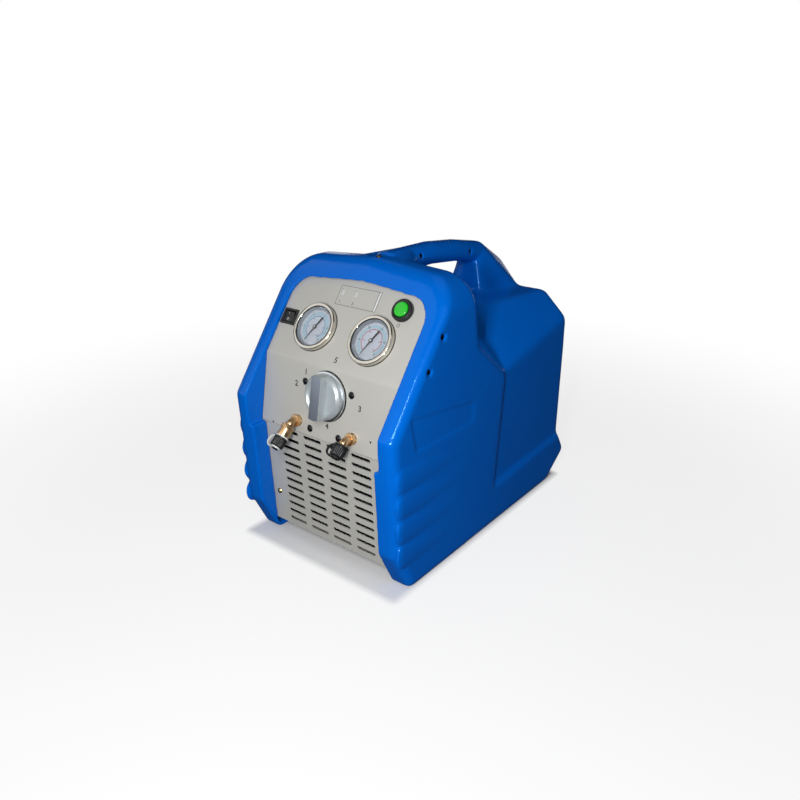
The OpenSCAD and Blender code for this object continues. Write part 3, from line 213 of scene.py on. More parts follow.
@dataclass(frozen=True)
class MouldedPolyethylene(Finish):
    """Rotationally moulded polyethylene: deep even colour, a pebbled skin that sparkles on the edges."""

    pebble_mm: float = 3.2
    fine_share: float = 0.15
    edge_highlight_colour: str = "#0C80F0"

    def dress(self, tree: bpy.types.NodeTree, shader: bpy.types.Node, place: bpy.types.NodeSocket) -> None:
        """Adds pebbles over the cloudy colour, and a painted highlight: a paler blue on the sharp convex edges.

        Args:
            tree: The material's node tree.
            shader: Its Principled shader.
            place: The coordinates that the patterns lie on.
        """
        cloud = add_node(tree, "ShaderNodeTexNoise", {
            "Vector": place, "Scale": per_metre(self.cloud_mm), "Detail": 4.0,
        })
        pebble = add_node(tree, "ShaderNodeTexVoronoi", {
            "Vector": place, "Scale": per_metre(self.pebble_mm), "Smoothness": 0.8,
        }, feature="SMOOTH_F1")
        fine = add_node(tree, "ShaderNodeTexNoise", {
            "Vector": place, "Scale": per_metre(self.grain_mm), "Detail": 2.0,
        })
        skin = add_node(tree, "ShaderNodeMath", {
            0: fine.outputs["Fac"], 1: self.fine_share, 2: pebble.outputs["Distance"],
        }, operation="MULTIPLY_ADD")
        tint = add_node(tree, "ShaderNodeMix", {
            "Factor": cloud.outputs["Fac"], 6: linear(self.shade), 7: linear(self.colour),
        }, data_type="RGBA")
        # Painted highlight: convex edges, found by pointiness, turn a paler blue.
        edge = add_node(tree, "ShaderNodeNewGeometry")
        edge_highlight_share = add_node(tree, "ShaderNodeMapRange", {
            "Value": edge.outputs["Pointiness"], "From Min": 0.52, "From Max": 0.60, "To Max": 0.35,
        })
        edge_highlighted = add_node(tree, "ShaderNodeMix", {
            "Factor": edge_highlight_share.outputs["Result"], 6: tint.outputs[2], 7: linear(self.edge_highlight_colour),
        }, data_type="RGBA")
        tree.links.new(edge_highlighted.outputs[2], shader.inputs["Base Color"])
        self.roughen(tree, shader, fine.outputs["Fac"])
        self.raise_grain(tree, shader, skin.outputs["Value"])


@dataclass(frozen=True)
class TurnedMetal(Finish):
    """Bar stock from a lathe: bright, with fine rings from the tool."""

    ring_mm: float = 0.5

    def dress(self, tree: bpy.types.NodeTree, shader: bpy.types.Node, place: bpy.types.NodeSocket) -> None:
        """Draws stretched streaks as the tool's marks, coarser than real so that they show.

        Args:
            tree: The material's node tree.
            shader: Its Principled shader.
            place: The coordinates that the patterns lie on.
        """
        stretch = add_node(tree, "ShaderNodeMapping", {"Vector": place, "Scale": (0.15, 1.0, 1.0)})
        streak = add_node(tree, "ShaderNodeTexNoise", {
            "Vector": stretch.outputs["Vector"], "Scale": per_metre(self.ring_mm), "Detail": 2.0,
        })
        cloud = add_node(tree, "ShaderNodeTexNoise", {
            "Vector": place, "Scale": per_metre(self.cloud_mm), "Detail": 3.0,
        })
        self.colour_between(tree, shader, cloud.outputs["Fac"])
        self.roughen(tree, shader, streak.outputs["Fac"])
        self.raise_grain(tree, shader, streak.outputs["Fac"])


@dataclass(frozen=True)
class ClearGlass(Finish):
    """Flat float glass: clear with a sharp reflection."""

    def material(self) -> bpy.types.Material:
        """The Blender material, made once."""
        made = super().material()
        shader = made.node_tree.nodes["Principled BSDF"]
        shader.inputs["Transmission Weight"].default_value = 1.0
        return made

    def dress(self, tree: bpy.types.NodeTree, shader: bpy.types.Node, place: bpy.types.NodeSocket) -> None:
        """Leaves the glass clean, with a trace of a tint and of smears.

        Args:
            tree: The material's node tree.
            shader: Its Principled shader.
            place: The coordinates that the patterns lie on.
        """
        smear = add_node(tree, "ShaderNodeTexNoise", {
            "Vector": place, "Scale": per_metre(self.cloud_mm), "Detail": 3.0,
        })
        self.colour_between(tree, shader, smear.outputs["Fac"])
        self.roughen(tree, shader, smear.outputs["Fac"])


@dataclass(frozen=True)
class Finishes:
    """Every finish on the machine."""

    # Polyethylene moulding: saturated blue, whose pebbled gloss breaks each highlight into glints
    case: Finish = MouldedPolyethylene(
        "blue_moulded_polyethylene", "#006CDA", "#0062CC", roughness=0.15, roughness_spread=0.03,
        grain_mm=0.9, grain_depth_mm=0.14, cloud_mm=90.0, reflection="#7CC0FF", shine=0.36,
    )
    # Powder coat over sheet steel: warm light grey with a fine orange peel
    panel: Finish = Finish(
        "grey_powder_coated_steel", "#C0BFB9", "#B8B7B1", roughness=0.42, grain_mm=0.6,
        grain_depth_mm=0.012, cloud_mm=80.0,
    )
    # Black on the tray is painted shade: it keeps the view behind the lowest slots dark
    tray: Finish = Finish(
        "tray_black_painted_shade", "#141516", "#0E0F10", roughness=0.6, grain_mm=0.6, grain_depth_mm=0.012,
        cloud_mm=30.0,
    )
    # Zinc plate over sheet steel: soft metal with faint clouds
    zinc: Finish = Finish(
        "zinc_plated_steel", "#B9BBBD", "#9A9DA0", roughness=0.38, metallic=1.0, grain_mm=4.0, cloud_mm=12.0,
    )
    # Yellow zinc on the bright screws: a warm tint on metal
    yellow_zinc: Finish = Finish(
        "yellow_zinc_plated_steel", "#C9B27A", "#B09A66", roughness=0.32, metallic=1.0, grain_mm=0.5, cloud_mm=3.0,
    )
    # Black oxide on the panel screws: near black with a soft shine
    black_oxide: Finish = Finish(
        "black_oxide_steel", "#18191B", "#0E0F10", roughness=0.35, metallic=0.6, grain_mm=0.4, cloud_mm=4.0,
    )
    # Turned brass: warm yellow with tool rings
    brass: Finish = TurnedMetal(
        "turned_brass", "#E4C294", "#CDA272", roughness=0.3, metallic=1.0, grain_depth_mm=0.006, cloud_mm=7.0,
    )
    # Ground steel: the shaft and the pressure switch
    steel: Finish = TurnedMetal(
        "ground_steel", "#A9ABAD", "#8C8F92", roughness=0.3, metallic=1.0, grain_depth_mm=0.004, cloud_mm=9.0,
    )
    # Chrome plate over rolled steel: mirror bright, with long waves from rolling
    chrome: Finish = Finish(
        "chrome_plated_steel", "#DAD6CC", "#C9C4B8", roughness=0.09, roughness_spread=0.03, metallic=1.0,
        grain_mm=8.0, grain_depth_mm=0.01, cloud_mm=15.0,
    )
    # Painted ABS: satin silver grey with a fine sparkle in the paint
    knob: Finish = Finish(
        "silver_painted_abs", "#B9C1C4", "#ACB4B8", roughness=0.36, metallic=0.3, grain_mm=0.35,
        grain_depth_mm=0.01, cloud_mm=20.0, coat=0.2,
    )
    # The grip's outward face: fine brushed lines along it, and a darker colour that is a painted dark reflection
    knob_face: Finish = TurnedMetal(
        "grip_face_painted_reflection", "#868F9C", "#78818E", roughness=0.38, metallic=0.4, grain_depth_mm=0.01,
        cloud_mm=12.0, ring_mm=0.7,
    )
    # Vacuum metallised ring under the knob: bright and slightly soft
    skirt: Finish = Finish(
        "metallised_abs", "#DDE2E6", "#C9D0D6", roughness=0.16, metallic=1.0, grain_mm=5.0, cloud_mm=18.0,
    )
    # Black ABS with a spark-eroded mould texture: satin
    black_abs: Finish = Finish(
        "black_moulded_abs", "#141517", "#0D0E0F", roughness=0.38, grain_mm=0.4, grain_depth_mm=0.02, cloud_mm=15.0,
    )
    # Black nylon caps: a little duller than ABS
    nylon: Finish = Finish(
        "black_moulded_nylon", "#111214", "#0A0B0C", roughness=0.46, grain_mm=0.5, grain_depth_mm=0.03, cloud_mm=8.0,
    )
    # Dark grey ABS of the hidden blocks
    grey_abs: Finish = Finish(
        "grey_moulded_abs", "#3A3D40", "#2F3235", roughness=0.5, grain_mm=0.5, cloud_mm=20.0,
    )
    # Polycarbonate button cap: saturated green with gloss
    green: Finish = Finish(
        "green_polycarbonate", "#00C414", "#00B80F", roughness=0.22, grain_mm=0.6, grain_depth_mm=0.008,
        cloud_mm=9.0, coat=0.4,
    )
    # Milky acrylic of the two windows
    lamp: Finish = Finish(
        "milky_acrylic", "#D2D5D1", "#C4C7C3", roughness=0.2, grain_mm=1.0, grain_depth_mm=0.005, cloud_mm=3.0,
        coat=0.3,
    )
    # Matt enamel of the dials: a cold white
    enamel: Finish = Finish(
        "white_dial_enamel", "#DCDEE9", "#D5D8E4", roughness=0.5, grain_mm=0.3, grain_depth_mm=0.003, cloud_mm=30.0,
    )
    # Gauge glass
    glass: Finish = ClearGlass(
        "gauge_glass", "#FBFDFE", "#F4F9FB", roughness=0.03, roughness_spread=0.01, cloud_mm=12.0, ior=1.46,
    )
    # Screen print in black, blue, red and grey: matt ink
    ink_black: Finish = Finish("black_screen_ink", "#1E1F22", "#15161A", roughness=0.6, grain_mm=0.2, cloud_mm=3.0)
    ink_blue: Finish = Finish("blue_screen_ink", "#3F8FC4", "#357FB3", roughness=0.6, grain_mm=0.2, cloud_mm=3.0)
    ink_red: Finish = Finish("red_screen_ink", "#C8355A", "#B52B4E", roughness=0.6, grain_mm=0.2, cloud_mm=3.0)
    ink_grey: Finish = Finish("grey_screen_ink", "#6E7072", "#5F6163", roughness=0.6, grain_mm=0.2, cloud_mm=3.0)
    ink_pale: Finish = Finish("pale_blue_ink", "#BCD8E6", "#B0CEDD", roughness=0.6, grain_mm=0.2, cloud_mm=3.0)
    ink_white: Finish = Finish("white_screen_ink", "#E6E8E8", "#DADCDC", roughness=0.6, grain_mm=0.2, cloud_mm=3.0)
    # Flexible vinyl strap: milky
    vinyl: Finish = Finish(
        "milky_vinyl", "#E3E5E2", "#D4D7D4", roughness=0.4, grain_mm=1.0, grain_depth_mm=0.02, cloud_mm=8.0,
    )
    # Moulded rubber: dull black
    rubber: Finish = Finish(
        "moulded_rubber", "#17181A", "#101113", roughness=0.72, grain_mm=0.7, grain_depth_mm=0.04, cloud_mm=12.0,
    )
    # Spun aluminium of the ring inside a gauge: soft grey
    spun: Finish = Finish(
        "spun_aluminium", "#B4B9BF", "#A3A8B0", roughness=0.36, metallic=0.8, grain_mm=0.6, cloud_mm=9.0,
    )
    # Coil and fins in near black: they stay dark behind the slots
    fins: Finish = Finish(
        "near_black_fins", "#3B3E3E", "#2F3232", roughness=0.55, grain_mm=2.0, cloud_mm=25.0,
    )
    # Drawn copper tube: warm, slightly tarnished
    copper: Finish = Finish(
        "drawn_copper", "#B8714A", "#96573A", roughness=0.3, metallic=1.0, grain_mm=1.2, cloud_mm=14.0,
    )
    # Die cast aluminium: grainy and grey
    casting: Finish = Finish(
        "cast_aluminium", "#9DA0A3", "#85888C", roughness=0.5, metallic=1.0, grain_mm=0.8, grain_depth_mm=0.05,
        cloud_mm=20.0,
    )
    # Stoved paint on the motor: dark grey
    motor: Finish = Finish(
        "stoved_grey_paint", "#41464C", "#363B41", roughness=0.4, grain_mm=0.8, grain_depth_mm=0.02, cloud_mm=30.0,
    )


FINISH = Finishes()


@dataclass(frozen=True)
class Seat:
    """A place on a face: its middle, and the directions right, up along the face and out of it."""

    origin: Vector
    out: Vector

    @property
    def right(self) -> Vector:
        """The machine's right."""
        return Vector((1.0, 0.0, 0.0))

    @property
    def up(self) -> Vector:
        """Up along the face."""
        return self.out.cross(self.right).normalized()

    def matrix(self, x_mm: float = 0.0, y_mm: float = 0.0, z_mm: float = 0.0, turn: float = 0.0) -> Matrix:
        """The transform of a place on the face.

        Args:
            x_mm: Distance to the right.
            y_mm: Distance up along the face.
            z_mm: Distance out of the face.
            turn: Turn about the face's normal, in degrees.

        Returns:
            A matrix in the row frame.
        """
        axes = Matrix((self.right, self.up, self.out)).transposed().to_4x4()
        shift = self.origin + (self.right * x_mm + self.up * y_mm + self.out * z_mm) * MM
        return Matrix.Translation(shift) @ axes @ Matrix.Rotation(math.radians(turn), 4, "Z")

    def height(self, z_mm: float) -> float:
        """Distance up along the face to a height over the floor, in millimetres."""
        return (z_mm * MM - self.origin.z) / self.up.z / MM


def joint(name: str) -> dict:
    """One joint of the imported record."""
    return next(j for j in frame["joints"] if j["name"] == name)


def joint_seat(name: str, outward: float) -> Seat:
    """The seat at a hinge, looking out along its axis.

    Args:
        name: The joint's name.
        outward: 1 if the axis points out of the machine, and -1 if it points in.

    Returns:
        The seat.
    """
    found = joint(name)
    return Seat(Vector(found["pos_m"]), (Vector(found["axis"]) * outward).normalized())


def upper_face() -> Seat:
    """The upper panel's face at the middle, at the gauges' height."""
    left = joint_seat("left_needle_turn", -1.0)
    right = joint_seat("right_needle_turn", -1.0)
    return Seat((left.origin + right.origin) / 2, left.out)


def keep(piece: bpy.types.Object, body: str, slot: str, *nodes: str) -> bpy.types.Object:
    """Gives a piece its body and hides the CAD nodes that it stands for.

    Args:
        piece: The new piece, already in place.
        body: The CAD body that carries it.
        slot: The record's material slot; not used.
        *nodes: CAD nodes that it replaces.

    Returns:
        The piece.
    """
    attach(piece, body)
    if nodes:
        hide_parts(*nodes)
    log.info("%s rides on %s with %d faces", piece.name, body, len(piece.data.polygons))
    return piece


def new_piece(name: str, mesh: bmesh.types.BMesh, finish: Finish, smooth_angle: float = 35.0) -> bpy.types.Object:
    """Makes an object from a bmesh.

    Args:
        name: The piece's name.
        mesh: Its shape, which is freed.
        finish: Its surface.
        smooth_angle: Edges sharper than this stay crisp, in degrees.

    Returns:
        The object, linked to the scene.
    """
    bmesh.ops.recalc_face_normals(mesh, faces=mesh.faces)
    sharp = math.radians(smooth_angle)
    for edge in mesh.edges:
        edge.smooth = len(edge.link_faces) != 2 or edge.calc_face_angle(0.0) < sharp
    for face in mesh.faces:
        face.smooth = True
    data = bpy.data.meshes.new(name)
    mesh.to_mesh(data)
    mesh.free()
    data.materials.append(finish.material())
    piece = bpy.data.objects.new(name, data)
    bpy.context.scene.collection.objects.link(piece)
    return piece


def cad_mesh(node: str) -> bmesh.types.BMesh:
    """A welded copy of a CAD node's mesh with its flat faces joined."""
    mesh = bmesh.new()
    mesh.from_mesh(frame["nodes"][node].data)
    bmesh.ops.remove_doubles(mesh, verts=mesh.verts, dist=1e-6)
    bmesh.ops.dissolve_limit(mesh, angle_limit=math.radians(0.5), verts=mesh.verts, edges=mesh.edges)
    return mesh


def break_edges(mesh: bmesh.types.BMesh, width_mm: float, angle: float = 28.0, segments: int = 2) -> None:
    """Rounds the sharp edges of a mesh, as a mould or a file leaves them.

    Args:
        mesh: The mesh to change.
        width_mm: Width of the rounding.
        angle: Edges sharper than this are rounded, in degrees.
        segments: Faces across the rounding.
    """
    limit = math.radians(angle)
    edges = [e for e in mesh.edges if len(e.link_faces) == 2 and e.calc_face_angle(0.0) > limit]
    bmesh.ops.bevel(
        mesh, geom=edges, offset=width_mm * MM, offset_type="OFFSET", segments=segments, profile=0.5,
        affect="EDGES", clamp_overlap=True,
    )


def softened(node: str, body: str, slot: str, finish: Finish, width_mm: float) -> bpy.types.Object:
    """A CAD node again with its edges rounded, in place of the node.

    Args:
        node: The CAD node.
        body: Its body.
        slot: Its material slot.
        finish: Its surface.
        width_mm: Width of the rounding.

    Returns:
        The piece.
    """
    mesh = cad_mesh(node)
    break_edges(mesh, width_mm)
    return keep(new_piece(f"{node}_dressed", mesh, finish), body, slot, node)


def paint(finish: Finish, *nodes: str) -> None:
    """Gives CAD nodes a finish and leaves their shape."""
    for node in nodes:
        data = frame["nodes"][node].data
        data.materials.clear()
        data.materials.append(finish.material())


def turned(profile: Sequence[Point2], at: Matrix, steps: int = 96) -> bmesh.types.BMesh:
    """Turns a closed profile about the Z axis.

    Args:
        profile: Radius and height of each corner, in millimetres, in order round the section.
        at: Where the axis stands.
        steps: Faces round the axis.

    Returns:
        The turned mesh.
    """
    mesh = bmesh.new()
    rings = []
    for n in range(steps):
        angle = 2 * math.pi * n / steps
        rings.append([
            mesh.verts.new(at @ Vector((r * math.cos(angle) * MM, r * math.sin(angle) * MM, z * MM)))
            for r, z in profile
        ])
    for n, ring in enumerate(rings):
        following = rings[(n + 1) % steps]
        for k in range(len(profile)):
            near, far = k, (k + 1) % len(profile)
            mesh.faces.new((ring[near], ring[far], following[far], following[near]))
    return mesh


def arc(centre: Point2, radius: float, start: float, end: float, steps: int) -> list[Point2]:
    """Points on an arc.

    Args:
        centre: Its middle.
        radius: Its radius.
        start: The first angle, in degrees.
        end: The last angle, in degrees.
        steps: Stretches along it.

    Returns:
        The points from start to end.
    """
    angles = [math.radians(start + (end - start) * n / steps) for n in range(steps + 1)]
    return [(centre[0] + radius * math.cos(a), centre[1] + radius * math.sin(a)) for a in angles]


@dataclass
class Print:
    """Ink on a face: flat shapes of one colour gathered into one thin piece."""

    name: str
    seat: Seat
    finish: Finish
    slot: str
    body: str = MACHINE
    lift_mm: float = 0.03
    thick_mm: float = 0.05
    mesh: bmesh.types.BMesh = field(default_factory=bmesh.new)

    def slab(self, outline: Sequence[Point2], x_mm: float = 0.0, y_mm: float = 0.0, turn: float = 0.0) -> None:
        """Adds a filled outline.

        Args:
            outline: Its corners about its own middle, in millimetres.
            x_mm: Place to the right.
            y_mm: Place up along the face.
            turn: Turn on the face, in degrees.
        """
        low = self.seat.matrix(x_mm, y_mm, self.lift_mm, turn)
        high = self.seat.matrix(x_mm, y_mm, self.lift_mm + self.thick_mm, turn)
        bottom = [self.mesh.verts.new(low @ Vector((x * MM, y * MM, 0.0))) for x, y in outline]
        top = [self.mesh.verts.new(high @ Vector((x * MM, y * MM, 0.0))) for x, y in outline]
        self.mesh.faces.new(bottom[::-1])
        self.mesh.faces.new(top)
        for n in range(len(outline)):
            m = (n + 1) % len(outline)
            self.mesh.faces.new((bottom[n], bottom[m], top[m], top[n]))

    def bar(self, start: Point2, end: Point2, width: float) -> None:
        """Adds a straight line of ink between two points of the face."""
        length = math.dist(start, end)
        turn = math.degrees(math.atan2(end[1] - start[1], end[0] - start[0]))
        middle = ((start[0] + end[0]) / 2, (start[1] + end[1]) / 2)
        x, y = length / 2, width / 2
        self.slab([(-x, -y), (x, -y), (x, y), (-x, y)], middle[0], middle[1], turn)

    def band(self, inner: float, outer: float, start: float, end: float, x_mm: float = 0.0, y_mm: float = 0.0) -> None:
        """Adds a curved band about a point, in short straight pieces.

        Args:
            inner: Inner radius.
            outer: Outer radius.
            start: First angle, in degrees.
            end: Last angle, in degrees.
            x_mm: Its centre to the right.
            y_mm: Its centre up along the face.
        """
        steps = max(4, int(abs(end - start) / 6))
        inside = arc((0.0, 0.0), inner, start, end, steps)
        outside = arc((0.0, 0.0), outer, start, end, steps)
        for n in range(steps):
            self.slab([inside[n], outside[n], outside[n + 1], inside[n + 1]], x_mm, y_mm)

    def word(self, text: str, height: float, x_mm: float, y_mm: float, weight: Weight = Weight.FINE) -> None:
        """Adds a numeral or a short mark, centred on a point.

        Args:
            text: The characters.
            height: Their height, in millimetres.
            x_mm: Place to the right.
            y_mm: Place up along the face.
            weight: How bold they are.
        """
        curve = bpy.data.curves.new("mark", "FONT")
        curve.body = text
        curve.size = height * MM / 0.7
        curve.align_x = "CENTER"
        curve.align_y = "CENTER"
        curve.extrude = self.thick_mm * MM / 2
        curve.offset = weight.value * MM
        curve.resolution_u = 3
        holder = bpy.data.objects.new("mark", curve)
        bpy.context.scene.collection.objects.link(holder)
        holder.matrix_world = self.seat.matrix(x_mm, y_mm, self.lift_mm + self.thick_mm / 2)
        bpy.context.view_layer.update()
        cut = bpy.data.meshes.new_from_object(holder.evaluated_get(bpy.context.evaluated_depsgraph_get()))
        cut.transform(holder.matrix_world)
        self.mesh.from_mesh(cut)
        bpy.data.objects.remove(holder)
        bpy.data.meshes.remove(cut)

    def finish_piece(self) -> bpy.types.Object:
        """Makes the piece from everything that was added."""
        return keep(new_piece(self.name, self.mesh, self.finish), self.body, self.slot)


@dataclass
class Case:
    """The blue moulded housing, with the soft edges of a moulding in place of the solid's facets.

    The edges behind the arch are softer than those in front, and the rims of the openings stay crisp.
    """

    voxel_mm: float = 1.3
    lip_mm: float = 2.6
    lip_angle: float = 95.0
    passes: int = 14
    soft_passes: int = 130
    kept_share: float = 0.3
    share: float = 0.5
    crisp_mm: float = 6.0
    fade_mm: float = 18.0
    soft_from_mm: float = -55.0
    flank_mm: float = 190.0
    flank_fade_mm: float = 40.0
    flank_share: float = 0.35
    grip_low_mm: float = 318.0
    grip_fade_mm: float = 10.0
    crisp_nodes: tuple[str, ...] = (
        "control_panel", "grille_panel", "rear_panel", "side_screws", "handle_screws", "top_screw",
    )

    def skin(self) -> bpy.types.Object:
        """A copy of the housing on an even grid, with its knife edges blunted first."""
        mesh = cad_mesh("housing")
        break_edges(mesh, self.lip_mm, self.lip_angle)
        rough = new_piece("rough_case", mesh, FINISH.case)
        remesh = rough.modifiers.new("skin", "REMESH")
        remesh.mode = "VOXEL"
        remesh.voxel_size = self.voxel_mm * MM
        return self.applied(rough)

    def applied(self, holder: bpy.types.Object) -> bpy.types.Object:
        """Swaps an object for one whose modifiers are applied.

        Args:
            holder: The object, which is removed.

        Returns:
            The new object.
        """
        bpy.context.view_layer.update()
        data = bpy.data.meshes.new_from_object(holder.evaluated_get(bpy.context.evaluated_depsgraph_get()))
        bpy.data.objects.remove(holder)
        data.name = "moulded_case"
        made = bpy.data.objects.new("moulded_case", data)
        bpy.context.scene.collection.objects.link(made)
        return made

    def softness(self, place: Vector, crisp: BVHTree) -> float:
        """How far a point of the skin may be softened.

        Args:
            place: The point.
            crisp: What the sharp rims lie against.

        Returns:
            From 0 at a rim, in front or on the grip, to 1.
        """
        reach = (self.crisp_mm + self.fade_mm) * MM
        found = crisp.find_nearest(place, reach)[3]
        clear = 1.0 if found is None else (found / MM - self.crisp_mm) / self.fade_mm
        behind = (place.y / MM - self.soft_from_mm) / self.fade_mm
        below = (self.grip_low_mm - place.z / MM) / self.grip_fade_mm
        flank = max(self.flank_share, (place.z / MM - self.flank_mm) / self.flank_fade_mm)
        return max(0.0, min(1.0, clear, behind, below, flank))

    def build(self) -> None:
        """Remeshes the housing and softens it."""
        piece = self.skin()
        mesh = bmesh.new()
        for node in self.crisp_nodes:
            mesh.from_mesh(frame["nodes"][node].data)
        crisp = BVHTree.FromBMesh(mesh)
        mesh.free()
        group = piece.vertex_groups.new(name="soft")
        for vert in piece.data.vertices:
            weight = self.softness(vert.co, crisp)
            if weight:
                group.add((vert.index,), weight, "REPLACE")
        for name, passes, where in (("relax", self.passes, ""), ("soften", self.soft_passes, group.name)):
            relax = piece.modifiers.new(name, "SMOOTH")
            relax.factor = self.share
            relax.iterations = passes
            relax.vertex_group = where
        piece.modifiers.new("thin_out", "DECIMATE").ratio = self.kept_share
        piece = self.applied(piece)
        piece.data.materials.clear()
        piece.data.materials.append(FINISH.case.material())
        for face in piece.data.polygons:
            face.use_smooth = True
        keep(piece, MACHINE, "shell", "housing")


@dataclass
class Panels:
    """The folded control panel, the grille and the rear sheet."""

    fold_mm: float = 3.0
    fold_steps: int = 5
    edge_mm: float = 0.25
    fold_least: float = 15.0
    fold_most: float = 40.0

    def build(self) -> None:
        """Rounds the control panel's fold and coats all three sheets."""
        mesh = cad_mesh("control_panel")
        low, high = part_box("control_panel")
        span = (high.x - low.x) * 0.9
        fold = [
            e for e in mesh.edges
            if len(e.link_faces) == 2 and e.calc_length() > span
            and math.radians(self.fold_least) < e.calc_face_angle(0.0) < math.radians(self.fold_most)
        ]
        bmesh.ops.bevel(
            mesh, geom=fold, offset=self.fold_mm * MM, offset_type="OFFSET", segments=self.fold_steps, profile=0.5,
            affect="EDGES", clamp_overlap=True,
        )
        keep(new_piece("control_panel_dressed", mesh, FINISH.panel, 20.0), MACHINE, "panel", "control_panel")
        paint(FINISH.panel, "grille_panel", "rear_panel")


@dataclass
class Gauge:
    """One pressure gauge: a rolled chrome bezel, glass, a printed dial and a needle on its hub."""

    side: str
    scale_ink: Finish
    numbers: tuple[int, ...]
    inner_numbers: tuple[int, ...]
    bezel_mm: float = 29.5
    case_mm: float = 26.3
    bezel_tall_mm: float = 7.0
    lip_mm: float = 1.5
    glass_top_mm: float = 6.0
    glass_low_mm: float = 4.6
    dial_mm: float = 1.3
    scale_mm: float = 21.8
    sleeve_foot_mm: float = 22.4
    first_angle: float = 245.0
    sweep: float = 300.0
    small_steps: int = 50

    @property
    def seat(self) -> Seat:
        """The gauge's centre on the panel."""
        return joint_seat(f"{self.side}_needle_turn", -1.0)

    def angle(self, share: float) -> float:
        """Angle of a share of the scale, in degrees, clockwise from the first mark."""
        return self.first_angle - self.sweep * share

    def bezel(self) -> None:
        """Turns the bezel with a rolled lip over the glass."""
        lip_centre = (self.bezel_mm - self.lip_mm, self.bezel_tall_mm - self.lip_mm)
        roll = arc(lip_centre, self.lip_mm, 0.0, 90.0, 6)
        inner_centre = (self.bezel_mm - 2.4 * self.lip_mm, self.bezel_tall_mm - self.lip_mm / 2)
        inner = arc(inner_centre, self.lip_mm / 2, 90.0, 180.0, 4)
        foot = arc((self.bezel_mm - self.lip_mm / 2, self.lip_mm / 2), self.lip_mm / 2, -90.0, 0.0, 4)
        reach = inner[-1][0]
        profile = [
            (self.case_mm, 0.0), *foot, *roll, *inner, (reach, self.glass_top_mm + 0.02),
            (self.case_mm, self.glass_top_mm + 0.02),
        ]
        mesh = turned(profile, self.seat.matrix())
        piece = new_piece(f"{self.side}_bezel_rolled", mesh, FINISH.chrome, 50.0)
        keep(piece, MACHINE, "bezel", f"{self.side}_gauge_bezel")
        self.dark_ring("glass", reach - 0.7, reach, self.glass_top_mm + 0.01, self.glass_top_mm + 0.35)
        # Painted shadow: a black ring at the bezel's foot stands for the shade in the gap under it.
        self.dark_ring("panel", self.bezel_mm - 1.2, self.bezel_mm + 0.45, 0.01, 0.5)

    def dark_ring(self, place: str, inner: float, outer: float, low: float, high: float) -> None:
        """Adds a thin black ring that draws a dark line beside the chrome: the one at the glass is a seal, the one at
        the panel is painted shadow in the gap under the bezel.

        Args:
            place: Where it lies, for its name.
            inner: Inner radius.
            outer: Outer radius.
            low: Its underside over the panel.
            high: Its top over the panel.
        """
        mesh = turned([(inner, low), (outer, low), (outer, high), (inner, high)], self.seat.matrix())
        keep(new_piece(f"{self.side}_{place}_gasket", mesh, FINISH.rubber), MACHINE, "needle")

    def sleeve(self) -> None:
        """Adds the tapered ring that holds the glass off the dial."""
        outer = self.case_mm - 1.35
        profile = [
            (outer, self.dial_mm + 0.05), (outer, self.glass_low_mm - 0.05), (outer - 0.4, self.glass_low_mm - 0.05),
            (self.sleeve_foot_mm, self.dial_mm + 0.12), (self.sleeve_foot_mm, self.dial_mm + 0.05),
        ]
        mesh = turned(profile, self.seat.matrix())
        keep(new_piece(f"{self.side}_dial_sleeve", mesh, FINISH.spun), MACHINE, "dial")

    def dial(self) -> None:
        """Prints the two scales and their numbers."""
        at = self.seat
        face = Seat(at.origin + at.out * self.dial_mm * MM, at.out)
        black = Print(f"{self.side}_scale_black", face, FINISH.ink_black, "needle")
        tint = Print(f"{self.side}_scale_tint", face, self.scale_ink, "dial")
        for n in range(self.small_steps + 1):
            whole = n % 10 == 0
            half = n % 5 == 0
            length = 2.6 if whole else 1.9 if half else 1.2
            width = 0.36 if whole else 0.26 if half else 0.16
            a = math.radians(self.angle(n / self.small_steps))
            outer = self.scale_mm
            black.bar(
                ((outer - length) * math.cos(a), (outer - length) * math.sin(a)),
                (outer * math.cos(a), outer * math.sin(a)), width,
            )
        black.band(self.scale_mm, self.scale_mm + 0.22, self.angle(0.0), self.angle(1.0))
        pale = Print(f"{self.side}_scale_pale", face, FINISH.ink_pale, "dial", lift_mm=0.005, thick_mm=0.02)
        pale.band(self.scale_mm * 0.7, self.scale_mm * 0.87, self.angle(0.0), self.angle(1.0))
        pale.finish_piece()
        for n, number in enumerate(self.numbers):
            a = math.radians(self.angle(n / (len(self.numbers) - 1)))
            r = self.scale_mm - 4.4
            black.word(str(number), 2.3, r * math.cos(a), r * math.sin(a))
        inner = self.scale_mm * 0.61
        tint.band(inner, inner + 0.8, self.angle(0.0), self.angle(1.0))
        for n in range(31):
            a = math.radians(self.angle(n / 30))
            length = 1.5 if n % 5 == 0 else 0.8
            tint.bar(
                ((inner + 0.6) * math.cos(a), (inner + 0.6) * math.sin(a)),
                ((inner + 0.6 + length) * math.cos(a), (inner + 0.6 + length) * math.sin(a)), 0.22,
            )
        for n, number in enumerate(self.inner_numbers):
            a = math.radians(self.angle(n / (len(self.inner_numbers) - 1)))
            r = inner - 1.9
            tint.word(str(number), 1.7, r * math.cos(a), r * math.sin(a))
        black.finish_piece()
        tint.finish_piece()

    def hub(self) -> None:
        """Adds the needle's black hub cap round a bright pin head."""
        body = f"{self.side}_needle"
        low, high = 3.5, 4.1
        cap = [(1.3, low), (2.5, low), (2.5, high - 0.3), (2.2, high), (1.3, high)]
        mesh = turned(cap, self.seat.matrix(), 40)
        keep(new_piece(f"{self.side}_hub_cap", mesh, FINISH.black_oxide, 60.0), body, "needle")
        pin = [(0.01, low), (1.25, low), (1.25, high - 0.1), (0.9, high + 0.05), (0.01, high + 0.1)]
        mesh = turned(pin, self.seat.matrix(), 40)
        keep(new_piece(f"{self.side}_pin_head", mesh, FINISH.ink_white, 60.0), body, "needle")

